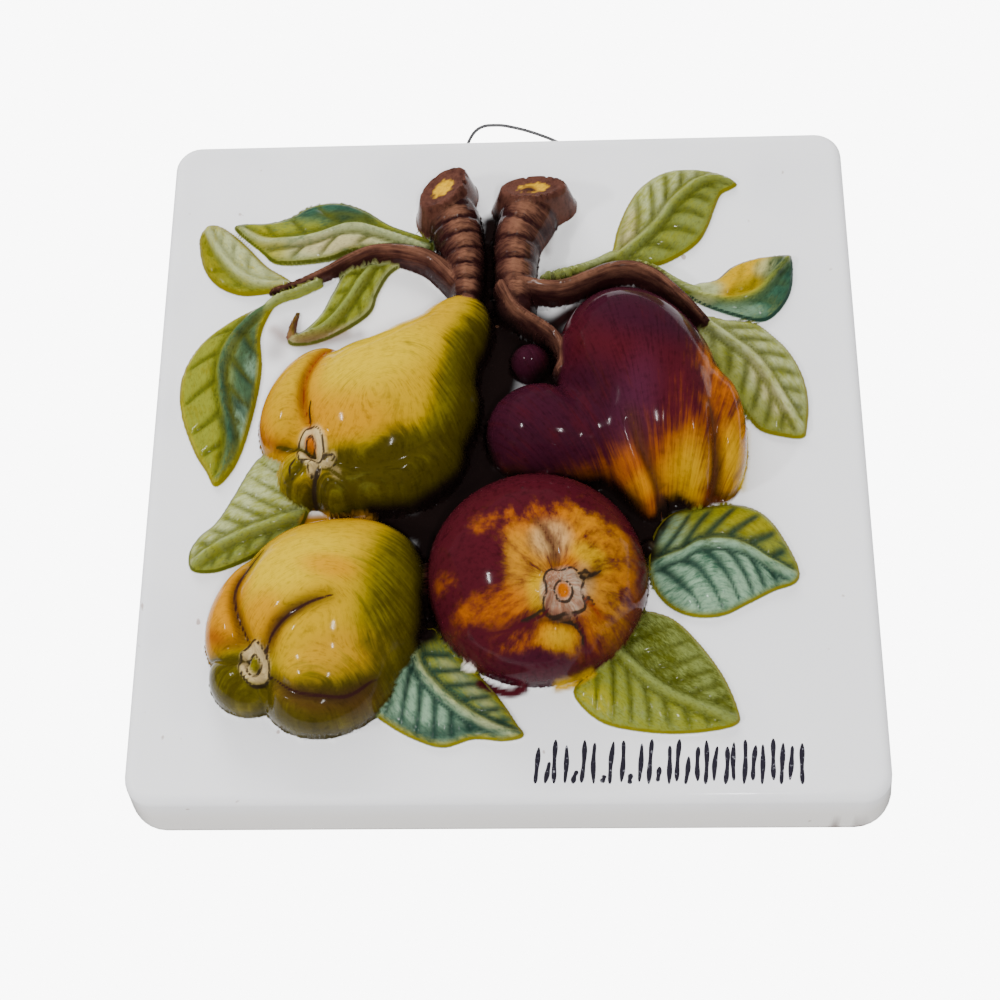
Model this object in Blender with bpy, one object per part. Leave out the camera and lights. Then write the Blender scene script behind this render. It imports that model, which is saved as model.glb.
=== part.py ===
"""Relief tile: a square glazed casting with quinces, apples and leaves on cut stems, and its hanging wire.

Metres, +Z up, X across the tile, the front towards -Y. The origin is the middle of the flat back, on the
wall. The relief is laid out in its own units, 200 across the front of the tile, measured from the middle of
the front. It is a height field: every form says how far it stands off the front at a place (x, z).
"""

import math
from typing import NamedTuple

import bmesh
import bpy
import numpy as np

TILE_SIDE = 0.200  # across the front, between its rounded edges
TILE_THICKNESS = 0.022
TILE_DRAFT = 0.003  # how far the back stands out past the front on each side
CORNER_RADIUS = 0.006
ARRIS_RADIUS = 0.003  # of the edge round the front
RELIEF_RISE = 0.030  # of the front apple, the highest form

WIRE_DIAMETER = 0.001
WIRE_SPREAD = 0.034  # between the two feet
WIRE_SHIFT = 0.0035  # of the middle between the feet, off the tile's middle
WIRE_RISE = 0.013  # of the loop above the top of the tile
WIRE_DEPTH = 0.010  # of each foot in its hole
WIRE_CLEARANCE = 0.0003  # all round each foot and under it
WIRE_SETBACK = 0.005  # from the wall to the middle of the wire
WIRE_LOOP = [  # its bends above the tile, in shares of WIRE_SPREAD and WIRE_RISE
    (-0.49, 0.23), (-0.474, 0.46), (-0.432, 0.73), (-0.379, 0.9), (-0.315, 0.985), (-0.235, 1),
    (-0.126, 0.977), (0.059, 0.838), (0.244, 0.638), (0.368, 0.46), (0.456, 0.27), (0.491, 0.115),
]

FIELD = 200.0  # the layout's units across the front
UNIT = TILE_SIDE / FIELD
GRID_STEP = 1.0  # spacing of the sheet that the relief is raised from
RELIEF_MARGIN = 4.0  # of the sheet round the outermost forms
SHEET_SINK = 1.6  # the sheet lies this far inside the slab where there is no form
SHEET_DEPTH = 6.0  # the underside of the raised sheet, inside the slab
WALL_SLOPE = 2.5  # of the foot of every form, down to the sheet
SKIN_FOOT = 6.0  # creases fade out below this height of a fruit
RELAX_ROUNDS = 12
RELIEF_FACES = 7400
FORM_BLEND = 0.5  # how high the valley between two forms is filled

SHARP_ANGLE = math.radians(35)  # faces that meet at less than this are shaded as one

LEAF_EDGE = 2.0  # height of a leaf's margin
LEAF_SWELL = 2.2  # how far its blade rises above the margin
MIDRIB_WIDTH = 1.1
MIDRIB_RIDGE = 0.7
VEIN_WIDTH = 0.8
VEIN_DEPTH = 0.45


class Lobe(NamedTuple):
    """Half an ellipsoid. Its height is a share of RELIEF_RISE."""

    centre: tuple
    half_size: tuple
    turn: float
    height: float


class Crease(NamedTuple):
    """A fold in a fruit's skin, deepest where its path starts."""

    path: list
    width: float
    depth: float


class Calyx(NamedTuple):
    """A round pit with a raised rim, where the blossom was."""

    centre: tuple
    radius: float
    rim: float


class Fruit(NamedTuple):
    """Lobes that run into each other, with the folds and the calyx in their skin."""

    lobes: list
    creases: list
    calyx: Calyx | None = None
    blend: float = 2.5  # how high the valley between two lobes is filled


class Leaf(NamedTuple):
    """A blade on an outline, with a midrib from its stalk to its tip and veins at even steps along it."""

    outline: list
    midrib: list
    veins: int
    slant: float = 1.0
    tilt: float = 0.0
    rise: float = 1.0


class Twig(NamedTuple):
    """A half-round stem along a path, with its half widths and heights at even steps along it."""

    path: list
    half_widths: list
    heights: list
    rings: int = 0


class CutEnd(NamedTuple):
    """A sawn end: a tilted oval face with a raised rim, falling away from the near side."""

    centre: tuple
    half_size: tuple
    turn: float
    near: float
    far: float


FRUITS = {
    "upper quince": Fruit(
        lobes=[
            Lobe((-33, 8), (27, 23.5), 20, 0.84),
            Lobe((-18, 27), (20, 12), 56, 0.55),
            Lobe((-26, 17), (22, 17), 52, 0.74),
            Lobe((-55.5, 11.5), (19, 11.5), 62, 0.56),
            Lobe((-31, -6), (21, 15), 8, 0.66),
            Lobe((-54, -10), (9, 9), -40, 0.44),
            Lobe((-45, -12.5), (8, 9), 0, 0.5),
        ],
        creases=[
            Crease([(-52, -1), (-54, 5), (-54.5, 10), (-53.5, 16), (-50, 24), (-44, 31)], 1.5, 2.5),
            Crease([(-48, -9), (-40, -11.8), (-30, -12), (-18, -5)], 1.8, 2.0),
            Crease([(-51, -8), (-57, -4.5), (-63, -3.2)], 1.2, 2.0),
            Crease([(-50, -11), (-51.5, -16), (-52, -20)], 1.2, 1.5),
            Crease([(-48, -11), (-42, -16), (-39, -20)], 1.5, 1.5),
        ],
        calyx=Calyx((-51.5, -6.5), 4.0, 1.6),
        blend=5,
    ),
    "lower quince": Fruit(
        lobes=[
            Lobe((-47, -50), (26, 25), 0, 0.86),
            Lobe((-68, -49.5), (17.5, 11), 66, 0.5),
            Lobe((-68, -67.5), (10.5, 9.5), -20, 0.48),
            Lobe((-46, -67), (19, 15.3), 22, 0.7),
            Lobe((-39, -41.5), (18, 17), 0, 0.7),
        ],
        creases=[
            Crease([(-65.5, -61), (-69, -54), (-70.5, -47.5), (-69, -42), (-63, -35)], 1.5, 2.5),
            Crease([(-61, -65), (-59.3, -60), (-55, -56), (-49, -53), (-42, -51)], 2.2, 2.6),
            Crease([(-60, -69), (-53.7, -73.6), (-46.9, -75.2), (-39.4, -75), (-32.2, -70)], 1.7, 2.4),
            Crease([(-66, -65.5), (-72, -64.4), (-78, -62.5)], 1.3, 2.4),
            Crease([(-61, -70.5), (-60.5, -75), (-60.3, -79)], 1.5, 2.4),
        ],
        calyx=Calyx((-63.8, -66), 4.6, 2.0),
    ),
    "right apple": Fruit(
        lobes=[
            Lobe((38, 14), (23, 32.5), 18, 0.9),
            Lobe((33, -6), (20, 7), -60, 0.6),
            Lobe((50, 1), (21, 10), -82, 0.82),
            Lobe((60, 1), (18, 7), -88, 0.6),
            Lobe((10.5, 1.5), (16, 14.5), 0, 0.67),
            Lobe((25, 0), (22, 13), 10, 0.64),
            Lobe((7.5, 24), (6.2, 5.6), 0, 0.3),
        ],
        creases=[
            Crease([(43, -24), (41.5, -17), (37, -8), (34, 0)], 1.8, 4.0),
            Crease([(56, -20), (57, -12), (56.5, -4), (55, 4)], 1.3, 3.5),
            Crease([(17, 20), (20, 12), (24, 4), (25, -6)], 4.5, 2.5),
        ],
        blend=7,
    ),
    "front apple": Fruit(
        lobes=[Lobe((8.7, -40.3), (30, 29.2), 0, 1.0)],
        creases=[
            Crease([(15.6, -46), (14.6, -41), (12.5, -36), (9, -31)], 1.6, 1.4),
            Crease([(19.5, -47.5), (24, -46.5), (29, -44)], 1.6, 1.4),
            Crease([(20.5, -52.5), (24.5, -54.5), (28, -57)], 1.6, 1.2),
            Crease([(18.5, -55), (21, -60), (21.5, -66)], 1.4, 1.4),
            Crease([(12.5, -53.5), (7, -57.5), (-1, -59.5), (-9, -58)], 1.8, 1.6),
            Crease([(12, -49), (8, -46), (4, -44)], 1.6, 1.0),
        ],
        calyx=Calyx((16, -51.3), 5.4, 1.6),
    ),
}

LEAVES = {
    "top left": Leaf(
        outline=[
            (-80.3, 71), (-70, 72.2), (-64, 74), (-58, 77.8), (-50, 78.8), (-42, 76), (-34, 70.5), (-22, 65),
            (-24, 60), (-42, 62), (-52, 58.8), (-66, 58), (-72, 62.5),
        ],
        midrib=[(-24, 62.5), (-38, 67.8), (-46, 68.8), (-55, 65.7), (-63, 64.3), (-71, 65), (-79.5, 70.3)],
        veins=5,
        tilt=0.1,
    ),
    "far left": Leaf(
        outline=[
            (-88.5, 71.3), (-86, 71.7), (-82, 69.5), (-76, 64), (-70, 57.5), (-64, 53.5), (-62, 51),
            (-66, 49.2), (-75, 48), (-80.5, 49.3), (-85, 52.2), (-88.3, 57), (-90, 63), (-90.3, 68),
        ],
        midrib=[(-62, 51), (-72, 51), (-78, 54.2), (-83, 60), (-86.5, 66), (-88.5, 71)],
        veins=4,
    ),
    "long left": Leaf(
        outline=[
            (-64, 48.3), (-70, 45), (-80, 39.3), (-88, 32), (-92.3, 22), (-91.8, 11), (-87.5, -0.5),
            (-83.5, -7), (-80.5, -11.5), (-76, -6.5), (-73, 2), (-70.5, 15), (-69.7, 25), (-70.5, 35),
            (-67.5, 43.5),
        ],
        midrib=[
            (-64, 48), (-72, 41.5), (-78, 33), (-80.6, 24), (-79.5, 14), (-76.8, 3), (-78, -6.5),
            (-80.4, -11),
        ],
        veins=6,
    ),
    "behind upper quince": Leaf(
        outline=[
            (-30, 58), (-34, 53.5), (-37, 47.5), (-39, 41.5), (-46, 36), (-54, 32.3), (-61, 31.6),
            (-62.3, 34), (-57.5, 36.8), (-53, 42), (-50, 48.5), (-45, 56),
        ],
        midrib=[(-38, 58), (-42, 50), (-46, 43), (-52, 36.5), (-61.5, 32.8)],
        veins=4,
    ),
    "between quinces": Leaf(
        outline=[
            (-64, -1.5), (-68.5, -3), (-71.5, -7), (-75, -14), (-79.5, -22), (-84, -26.3), (-86.5, -31),
            (-85.5, -36), (-80, -36.8), (-74, -35), (-66, -31), (-56, -24), (-54, -14), (-58, -5),
        ],
        midrib=[(-55, -20), (-62, -23), (-70, -26), (-78, -30), (-85.5, -35)],
        veins=5,
    ),
    "below front apple": Leaf(
        outline=[
            (-20, -53), (-13, -60), (-6, -67), (-1, -73), (3, -79), (5, -82.5), (0, -83.8), (-8, -83.3),
            (-16, -85.4), (-24, -83), (-31, -79), (-34, -76), (-33, -70), (-28, -62),
        ],
        midrib=[(-25, -57), (-22, -65), (-17, -71), (-11, -76), (-5, -79.5), (4, -82.8)],
        veins=6,
    ),
    "bottom right": Leaf(
        outline=[
            (36, -50), (42, -50), (47, -53), (53, -60), (58, -68), (61, -76.5), (60.5, -79.8), (54, -81.5),
            (44, -82.2), (34, -81.3), (26, -79.3), (20.5, -75), (18.3, -70.5), (22, -66), (28, -60),
        ],
        midrib=[(30, -60), (37, -67.2), (43, -71.7), (50, -75), (60.5, -79)],
        veins=5,
    ),
    "middle right": Leaf(
        outline=[
            (39, -33), (41.5, -25.5), (46, -21.3), (53, -20.2), (60, -19), (67, -20), (72, -23.5), (76, -30),
            (79, -37.5), (78, -41.5), (72, -43.8), (65, -47.3), (58, -50.5), (50, -50.6), (43.5, -47.3),
            (39.5, -41),
        ],
        midrib=[
            (37, -37), (46.7, -34.5), (52.6, -31.4), (59.5, -31), (65.5, -33), (71.4, -37), (78.5, -40.3),
        ],
        veins=6,
        rise=1.3,
    ),
    "right of right apple": Leaf(
        outline=[
            (57, 38.5), (63, 37.3), (71, 36), (76, 32), (80.5, 26.5), (83.7, 19), (84.7, 11), (83.8, 3.5),
            (82.5, 0.5), (77, 1), (71, 3), (67.5, 7.5), (63, 15), (58, 26), (54, 34),
        ],
        midrib=[(57, 36.5), (63.6, 29.8), (69.6, 24.3), (73.6, 18.4), (77.6, 10.5), (83, 1.5)],
        veins=6,
    ),
    "small right": Leaf(
        outline=[
            (51, 47.5), (56, 49.2), (61, 50.3), (66, 54.5), (73, 57), (81, 57.8), (82.8, 57), (82.8, 50.5),
            (81.3, 44.5), (77.5, 39), (73, 36.6), (66, 38.3), (58, 41.5), (53, 44.5),
        ],
        midrib=[(52, 46), (60, 43.5), (66, 42.5), (72, 44.5), (77, 50), (82.5, 57.2)],
        veins=4,
    ),
    "top right": Leaf(
        outline=[
            (30, 57), (31.5, 61), (33, 67.5), (36, 75), (40, 81.3), (46, 85.8), (52, 87.2), (59, 86.7),
            (65, 84.8), (68.3, 82), (66.5, 80.3), (63.5, 78.5), (61.5, 74), (59.5, 68.5), (56.5, 63),
            (51.5, 58.8), (45, 55.5), (38, 55),
        ],
        midrib=[(30, 56), (38.5, 61.7), (44.5, 67.5), (49.3, 74.4), (55.3, 80.3), (61, 83.4), (68, 82)],
        veins=6,
    ),
}

TWIGS = {
    "left stem": Twig(
        [(-11, 38), (-10.8, 45.5), (-11.2, 55), (-13, 63), (-15, 70)],
        [3.8, 5.2, 5.8, 7, 8],
        [9, 11, 12, 13, 13],
        rings=7,
    ),
    "right stem": Twig([(3, 41), (3, 53), (3.6, 62), (7, 71)], [6, 6.2, 7, 8.6], [11, 12, 13, 14], rings=5),
    "left twig": Twig(
        [
            (-12, 46), (-17, 52), (-22, 56.4), (-30, 59.4), (-38, 60), (-45, 57.5), (-52, 54), (-60, 51),
            (-68, 48.6),
        ],
        [3.6, 3.6, 3.5, 3.2, 2.6, 2.0, 1.5, 1.0, 0.7],
        [9, 8.5, 8, 7, 6.5, 6, 5, 4, 3],
    ),
    "right twig": Twig(
        [
            (2, 47), (12, 45.7), (18, 46.4), (24, 48.8), (30, 51.2), (36, 51.8), (42, 49.6), (47, 45.6),
            (52, 40.6), (57, 35.5),
        ],
        [4, 3.4, 3.2, 3.1, 3, 2.8, 2.6, 2.3, 2, 1.5],
        [11, 10, 9, 9, 9, 9, 9, 8.5, 8, 6],
    ),
    "apple stalk": Twig(
        [(-0.5, 45), (2.5, 39), (6.4, 35), (10.3, 32.3), (14.1, 29.2), (16.2, 25.5), (16.5, 22), (15.2, 19)],
        [3, 2.7, 2.6, 2.5, 2.4, 2.3, 2.2, 2],
        [12, 12, 12.5, 13, 13, 12.5, 11.5, 10],
    ),
}

CUT_ENDS = {
    "left stem": CutEnd((-17.5, 76), (8.5, 5.6), 50, 14.5, 9),
    "right stem": CutEnd((8.6, 75.6), (9.6, 5.4), 4, 14.5, 8.5),
}


def curve_through(points, closed, steps=8):
    """The smooth curve that passes through the points, as an array of x and z."""
    at = np.array(points, float)
    if closed:
        before, after, later = np.roll(at, 1, 0), np.roll(at, -1, 0), np.roll(at, -2, 0)
    else:
        long = np.vstack([2 * at[0] - at[1], at, 2 * at[-1] - at[-2]])
        before, at, after, later = long[:-3], long[1:-2], long[2:-1], long[3:]
    t = np.linspace(0, 1, steps, endpoint=False)[None, :, None]
    a, b, c, d = (part[:, None, :] for part in (before, at, after, later))
    curve = 0.5 * (2 * b + (c - a) * t + (2 * a - 5 * b + 4 * c - d) * t**2 + (3 * b - a - 3 * c + d) * t**3)
    curve = curve.reshape(-1, 2)
    return np.vstack([curve, curve[:1] if closed else points[-1:]])


def nearest(curve, x, z):
    """For each place: its nearest point's share along the curve, and how far it lies to the curve's left."""
    start, step = curve[:-1], np.diff(curve, axis=0)
    off_x = x[:, None] - start[:, 0]
    off_z = z[:, None] - start[:, 1]
    size = np.hypot(step[:, 0], step[:, 1])
    t = np.clip((off_x * step[:, 0] + off_z * step[:, 1]) / size**2, 0, 1)
    off_x -= t * step[:, 0]
    off_z -= t * step[:, 1]
    distance = off_x**2 + off_z**2
    which = distance.argmin(axis=1)
    row = np.arange(len(x))
    side = np.sign(step[which, 0] * off_z[row, which] - step[which, 1] * off_x[row, which])
    run = np.concatenate([[0], np.cumsum(size)])
    return (run[which] + t[row, which] * size[which]) / run[-1], side * np.sqrt(distance[row, which])


def inside(outline, x, z):
    """For each place: its distance to the closed outline, positive inside."""
    near = np.abs(nearest(outline, x, z)[1])
    x0, z0 = outline[:-1].T
    x1, z1 = outline[1:].T
    spans = (z0 > z[:, None]) != (z1 > z[:, None])
    rise = np.where(z1 == z0, 1, z1 - z0)
    crossing = x0 + (z[:, None] - z0) / rise * (x1 - x0)
    crossed = (spans & (x[:, None] < crossing)).sum(axis=1)
    return np.where(crossed % 2 == 1, near, -near)


def hollow(distance, width):
    """A rounded groove or ridge of unit depth across a line."""
    return np.exp(-((distance / width) ** 2))


def oval(centre, half_size, turn, x, z):
    """The places in the oval's own frame, where its outline is at distance 1 from its middle."""
    off_x, off_z = x - centre[0], z - centre[1]
    cosine, sine = math.cos(math.radians(turn)), math.sin(math.radians(turn))
    return (off_x * cosine + off_z * sine) / half_size[0], (off_z * cosine - off_x * sine) / half_size[1]


def fruit_height(fruit, x, z):
    rise = np.full(x.shape, -SHEET_SINK)
    for lobe in fruit.lobes:
        share = np.hypot(*oval(lobe.centre, lobe.half_size, lobe.turn, x, z))
        dome = RELIEF_RISE / UNIT * lobe.height * np.sqrt(np.maximum(1 - share**2, 0))
        wall = WALL_SLOPE * min(lobe.half_size) * (1 - share)
        rise = smooth_max(rise, np.where(share < 1, dome, wall), fruit.blend)
    for crease in fruit.creases:
        along, off = nearest(curve_through(crease.path, closed=False), x, z)
        rise -= crease.depth * hollow(off, crease.width) * (1 - along**2) * np.clip(rise / SKIN_FOOT, 0, 1)
    if fruit.calyx:
        (at_x, at_z), radius, rim = fruit.calyx
        off = np.hypot(x - at_x, z - at_z)
        rise += rim * (hollow(off - radius, 0.4 * radius) - 1.6 * hollow(off, 0.6 * radius))
    return rise


def leaf_height(leaf, x, z):
    depth = inside(curve_through(leaf.outline, closed=True), x, z)
    base, tip = np.array(leaf.midrib[0]), np.array(leaf.midrib[-1])
    length = math.dist(base, tip)
    chord = (tip - base) / length
    along = (x - base[0]) * chord[0] + (z - base[1]) * chord[1]
    off = (z - base[1]) * chord[0] - (x - base[0]) * chord[1]
    midrib = curve_through(leaf.midrib, closed=False) - base
    off -= np.interp(along, midrib @ chord, midrib @ (-chord[1], chord[0]))
    margin = LEAF_EDGE * np.sqrt(np.clip(depth / 1.3, 0, 1))
    blade = leaf.rise * LEAF_SWELL * (1 - hollow(np.maximum(depth, 0), 4)) + leaf.tilt * off
    beside = hollow(np.abs(off) - 2 * MIDRIB_WIDTH, MIDRIB_WIDTH)
    ridge = MIDRIB_RIDGE * (hollow(off, MIDRIB_WIDTH) - 1.2 * beside)
    phase = along - leaf.slant * np.abs(off) * (1 - 0.015 * np.abs(off))
    pitch = length / (leaf.veins + 1)
    groove = np.abs((phase / pitch) % 1 - 0.5) * pitch
    veins = VEIN_DEPTH * hollow(groove, VEIN_WIDTH) * np.clip((np.abs(off) - 1) / 2, 0, 1)
    inner = np.clip(depth / 2, 0, 1)
    return np.where(depth > 0, margin + blade + (ridge - veins) * inner, WALL_SLOPE * depth)


def twig_height(twig, x, z):
    along, off = nearest(curve_through(twig.path, closed=False), x, z)
    steps = np.linspace(0, 1, len(twig.path))
    half_width = np.interp(along, steps, twig.half_widths)
    height = np.interp(along, steps, twig.heights)
    share = np.abs(off) / half_width
    rise = height * np.sqrt(np.maximum(1 - share**2, 0))
    if twig.rings:
        band = np.abs(np.sin(math.pi * twig.rings * (along - 0.03 * share**2)))
        rise -= 1.1 * (1 - band) ** 2 * np.clip(rise / 4, 0, 1)
    return np.where(share < 1, rise, WALL_SLOPE * (half_width - np.abs(off)))


def cut_height(end, x, z):
    long, short = oval(end.centre, end.half_size, end.turn, x, z)
    share = np.hypot(long, short)
    face = (end.near + end.far) / 2 - (end.near - end.far) / 2 * short
    rim = 0.6 * hollow(share - 0.88, 0.12) - 0.5 * hollow(share, 0.45)
    wall = 2.2 * (1 - share) * end.half_size[1]
    return np.where(share < 1, face + rim, face + 3 * wall)


def smooth_max(a, b, blend):
    """The larger of two heights, with the valley where they meet filled over about this height."""
    return np.maximum(a, b) + np.maximum(blend - np.abs(a - b), 0) ** 2 / (4 * blend)


def reaches(points, pad=3):
    at = np.array(points)
    return at.min(axis=0) - pad, at.max(axis=0) + pad


def relief_forms():
    """Each form's height function with its corner places, in the order in which they lie on each other."""
    for leaf in LEAVES.values():
        yield leaf_height, leaf, reaches(leaf.outline)
    for fruit in FRUITS.values():
        ends = [reaches([lobe.centre], 3 + max(lobe.half_size)) for lobe in fruit.lobes]
        yield fruit_height, fruit, reaches(np.vstack(ends), 0)
    for twig in TWIGS.values():
        yield twig_height, twig, reaches(twig.path, 3 + max(twig.half_widths))
    for end in CUT_ENDS.values():
        yield cut_height, end, reaches([end.centre], 3 + max(end.half_size))


def relief_height(x, z):
    """How far the relief stands off the front at these places; -SHEET_SINK where there is no form."""
    height = np.full(x.shape, -SHEET_SINK)
    for rule, form, (low, high) in relief_forms():
        near = (x > low[0]) & (x < high[0]) & (z > low[1]) & (z < high[1])
        if near.any():
            height[near] = smooth_max(height[near], rule(form, x[near], z[near]), FORM_BLEND)
    return np.maximum(height, -SHEET_SINK)


def relaxed(x, z):
    """The sheet's places, moved so that its cells keep about one size on steep walls. The border stays."""
    for _ in range(RELAX_ROUNDS):
        y = relief_height(x.ravel(), z.ravel()).reshape(x.shape)
        spot = np.stack([x, y, z])
        middle = (spot[:, :-2, 1:-1] + spot[:, 2:, 1:-1] + spot[:, 1:-1, :-2] + spot[:, 1:-1, 2:]) / 4
        pull = middle - spot[:, 1:-1, 1:-1]
        along_a = spot[:, 2:, 1:-1] - spot[:, :-2, 1:-1]
        along_b = spot[:, 1:-1, 2:] - spot[:, 1:-1, :-2]
        normal = np.cross(along_a, along_b, axis=0)
        normal /= np.linalg.norm(normal, axis=0)
        pull -= normal * (pull * normal).sum(axis=0)
        x[1:-1, 1:-1] += 0.7 * pull[0]
        z[1:-1, 1:-1] += 0.7 * pull[2]
    return x, z


def new_object(name, mesh, collection):
    obj = bpy.data.objects.new(name, mesh)
    collection.objects.link(obj)
    return obj


def mesh_of(name, shape):
    mesh = bpy.data.meshes.new(name)
    shape.to_mesh(mesh)
    shape.free()
    mesh.shade_smooth()
    mesh.set_sharp_from_angle(angle=SHARP_ANGLE)
    return mesh


def build_sheet(collection):
    """The raised sheet: a grid lifted by the relief's heights, with a flat underside inside the slab."""
    corners = np.vstack([np.stack(reach) for _, _, reach in relief_forms()])
    low, high = corners.min(axis=0) - RELIEF_MARGIN, corners.max(axis=0) + RELIEF_MARGIN
    count = np.ceil((high - low) / GRID_STEP).astype(int)
    shape = bmesh.new()
    bmesh.ops.create_grid(shape, x_segments=count[0], y_segments=count[1], size=1)
    shape.verts.ensure_lookup_table()
    across = np.array([v.co[:2] for v in shape.verts])
    rows = (count[1] + 1, count[0] + 1)
    middle, half = (low + high) / 2, (high - low) / 2
    x = (middle[0] + across[:, 0] * half[0]).reshape(rows)
    z = (middle[1] + across[:, 1] * half[1]).reshape(rows)
    x, z = relaxed(x, z)
    x, z = x.ravel(), z.ravel()
    y = relief_height(x, z)
    top = list(shape.faces)
    for vert, *place in zip(shape.verts, x * UNIT, -TILE_THICKNESS - y * UNIT, z * UNIT):
        vert.co = place
    skirt = bmesh.ops.extrude_face_region(shape, geom=top)
    under = [part for part in skirt["geom"] if isinstance(part, bmesh.types.BMVert)]
    for vert in under:
        vert.co.y = -TILE_THICKNESS + SHEET_DEPTH * UNIT
    bmesh.ops.recalc_face_normals(shape, faces=shape.faces)
    sheet = new_object("relief_sheet", mesh_of("relief_sheet", shape), collection)
    fewer = sheet.modifiers.new("Fewer faces", "DECIMATE")
    fewer.ratio = RELIEF_FACES / (2 * len(sheet.data.polygons))
    return hide(sheet)


def build_slab(collection):
    """The plain slab: its back stands out past its front, and its corners and front edge are rounded."""
    shape = bmesh.new()
    bmesh.ops.create_cube(shape, size=1)
    for vert in shape.verts:
        half, depth = (TILE_SIDE / 2 + TILE_DRAFT, 0) if vert.co.y > 0 else (TILE_SIDE / 2, -TILE_THICKNESS)
        vert.co = (math.copysign(half, vert.co.x), depth, math.copysign(half, vert.co.z))
    corners = [edge for edge in shape.edges if min(at_depths(edge)) < max(at_depths(edge))]
    bmesh.ops.bevel(shape, geom=corners, offset=CORNER_RADIUS, segments=5, profile=0.5, affect="EDGES")
    arris = [edge for edge in shape.edges if max(at_depths(edge)) < -TILE_THICKNESS / 2]
    bmesh.ops.bevel(shape, geom=arris, offset=ARRIS_RADIUS, segments=3, profile=0.5, affect="EDGES")
    return new_object("tile", mesh_of("tile", shape), collection)


def at_depths(edge):
    return [vert.co.y for vert in edge.verts]


def wire_path():
    """The wire's bends as (x, z), from one foot up round the loop and down to the other."""
    top = TILE_SIDE / 2 + TILE_DRAFT
    foot = WIRE_SPREAD / 2
    left = [(-foot, top - WIRE_DEPTH), (-foot, top - WIRE_DEPTH / 2), (-foot, top)]
    right = [(foot, z) for _, z in reversed(left)]
    return left + [(x * WIRE_SPREAD, top + z * WIRE_RISE) for x, z in WIRE_LOOP] + right


def build_wire(collection):
    curve = bpy.data.curves.new("hanging_wire", "CURVE")
    curve.dimensions = "3D"
    curve.bevel_depth = WIRE_DIAMETER / 2
    curve.bevel_resolution = 1
    curve.use_fill_caps = True
    bends = curve_through(wire_path(), closed=False, steps=4)
    line = curve.splines.new("POLY")
    line.points.add(len(bends) - 1)
    for point, (x, z) in zip(line.points, bends):
        point.co = (WIRE_SHIFT + x, -WIRE_SETBACK, z, 1)
    return new_object("hanging_wire", curve, collection)


def build_hole(side, collection):
    """A blind hole in the tile's top for one foot of the wire."""
    radius = WIRE_DIAMETER / 2 + WIRE_CLEARANCE
    top = TILE_SIDE / 2 + 2 * TILE_DRAFT
    bottom = TILE_SIDE / 2 + TILE_DRAFT - WIRE_DEPTH - WIRE_CLEARANCE
    size = {"radius1": radius, "radius2": radius, "depth": top - bottom}
    shape = bmesh.new()
    bmesh.ops.create_cone(shape, cap_ends=True, segments=10, **size)
    hole = new_object(f"foot_hole_{side}", mesh_of("foot_hole", shape), collection)
    hole.location = (WIRE_SHIFT + side * WIRE_SPREAD / 2, -WIRE_SETBACK, (top + bottom) / 2)
    return hide(hole)


def hide(obj):
    """A helper that shapes another object and isn't a piece itself."""
    obj.hide_render = True
    obj.display_type = "WIRE"
    return obj


def material(name, colour, roughness, metallic=0.0):
    finish = bpy.data.materials.new(name)
    finish.use_nodes = True
    shader = finish.node_tree.nodes["Principled BSDF"]
    shader.inputs["Base Color"].default_value = (*colour, 1)
    shader.inputs["Roughness"].default_value = roughness
    shader.inputs["Metallic"].default_value = metallic
    return finish


def join(obj, other, operation):
    step = obj.modifiers.new(f"{operation.title()} {other.name}", "BOOLEAN")
    step.operation = operation
    step.solver = "MANIFOLD"
    step.object = other


def main():
    for old in list(bpy.data.objects):
        bpy.data.objects.remove(old)
    pieces = bpy.data.collections.new("relief tile")
    helpers = bpy.data.collections.new("helpers")
    for group in (pieces, helpers):
        bpy.context.scene.collection.children.link(group)
    tile = build_slab(pieces)
    join(tile, build_sheet(helpers), "UNION")
    for side in (-1, 1):
        join(tile, build_hole(side, helpers), "DIFFERENCE")
    tile.data.materials.append(material("white glaze", (0.67, 0.67, 0.66), 0.12))
    wire = build_wire(pieces)
    wire.data.materials.append(material("steel wire", (0.1, 0.1, 0.1), 0.35, 1.0))


if __name__ == "__main__":
    main()
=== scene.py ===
"""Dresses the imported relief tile: fruits, leaves and stems in fine relief, painted glaze, and the wire.

The relief is laid out as in the part's source, in millimetres measured from the middle of the front, x to the
right and z up. Every form says how far it stands off the front at a place, and which paint lies there.
"""

import logging
import math
from abc import ABC, abstractmethod
from dataclasses import dataclass, field
from enum import Enum

import bpy
import numpy as np
from mathutils import Matrix, Vector

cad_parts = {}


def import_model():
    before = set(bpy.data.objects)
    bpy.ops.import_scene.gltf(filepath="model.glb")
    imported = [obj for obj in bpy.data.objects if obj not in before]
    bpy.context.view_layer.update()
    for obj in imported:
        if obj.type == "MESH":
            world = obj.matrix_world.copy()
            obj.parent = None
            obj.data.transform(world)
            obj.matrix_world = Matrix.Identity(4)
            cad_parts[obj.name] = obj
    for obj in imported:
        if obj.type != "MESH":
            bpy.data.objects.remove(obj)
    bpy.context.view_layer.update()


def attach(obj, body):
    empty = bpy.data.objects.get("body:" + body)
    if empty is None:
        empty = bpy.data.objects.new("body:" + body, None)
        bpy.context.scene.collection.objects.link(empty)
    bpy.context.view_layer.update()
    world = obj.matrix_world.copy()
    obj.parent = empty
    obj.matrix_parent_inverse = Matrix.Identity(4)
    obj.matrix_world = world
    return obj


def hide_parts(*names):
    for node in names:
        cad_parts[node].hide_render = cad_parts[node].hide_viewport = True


LOG = logging.getLogger("relief_tile")

Array = np.ndarray
Point = tuple[float, float]
Path = list[Point]

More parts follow.
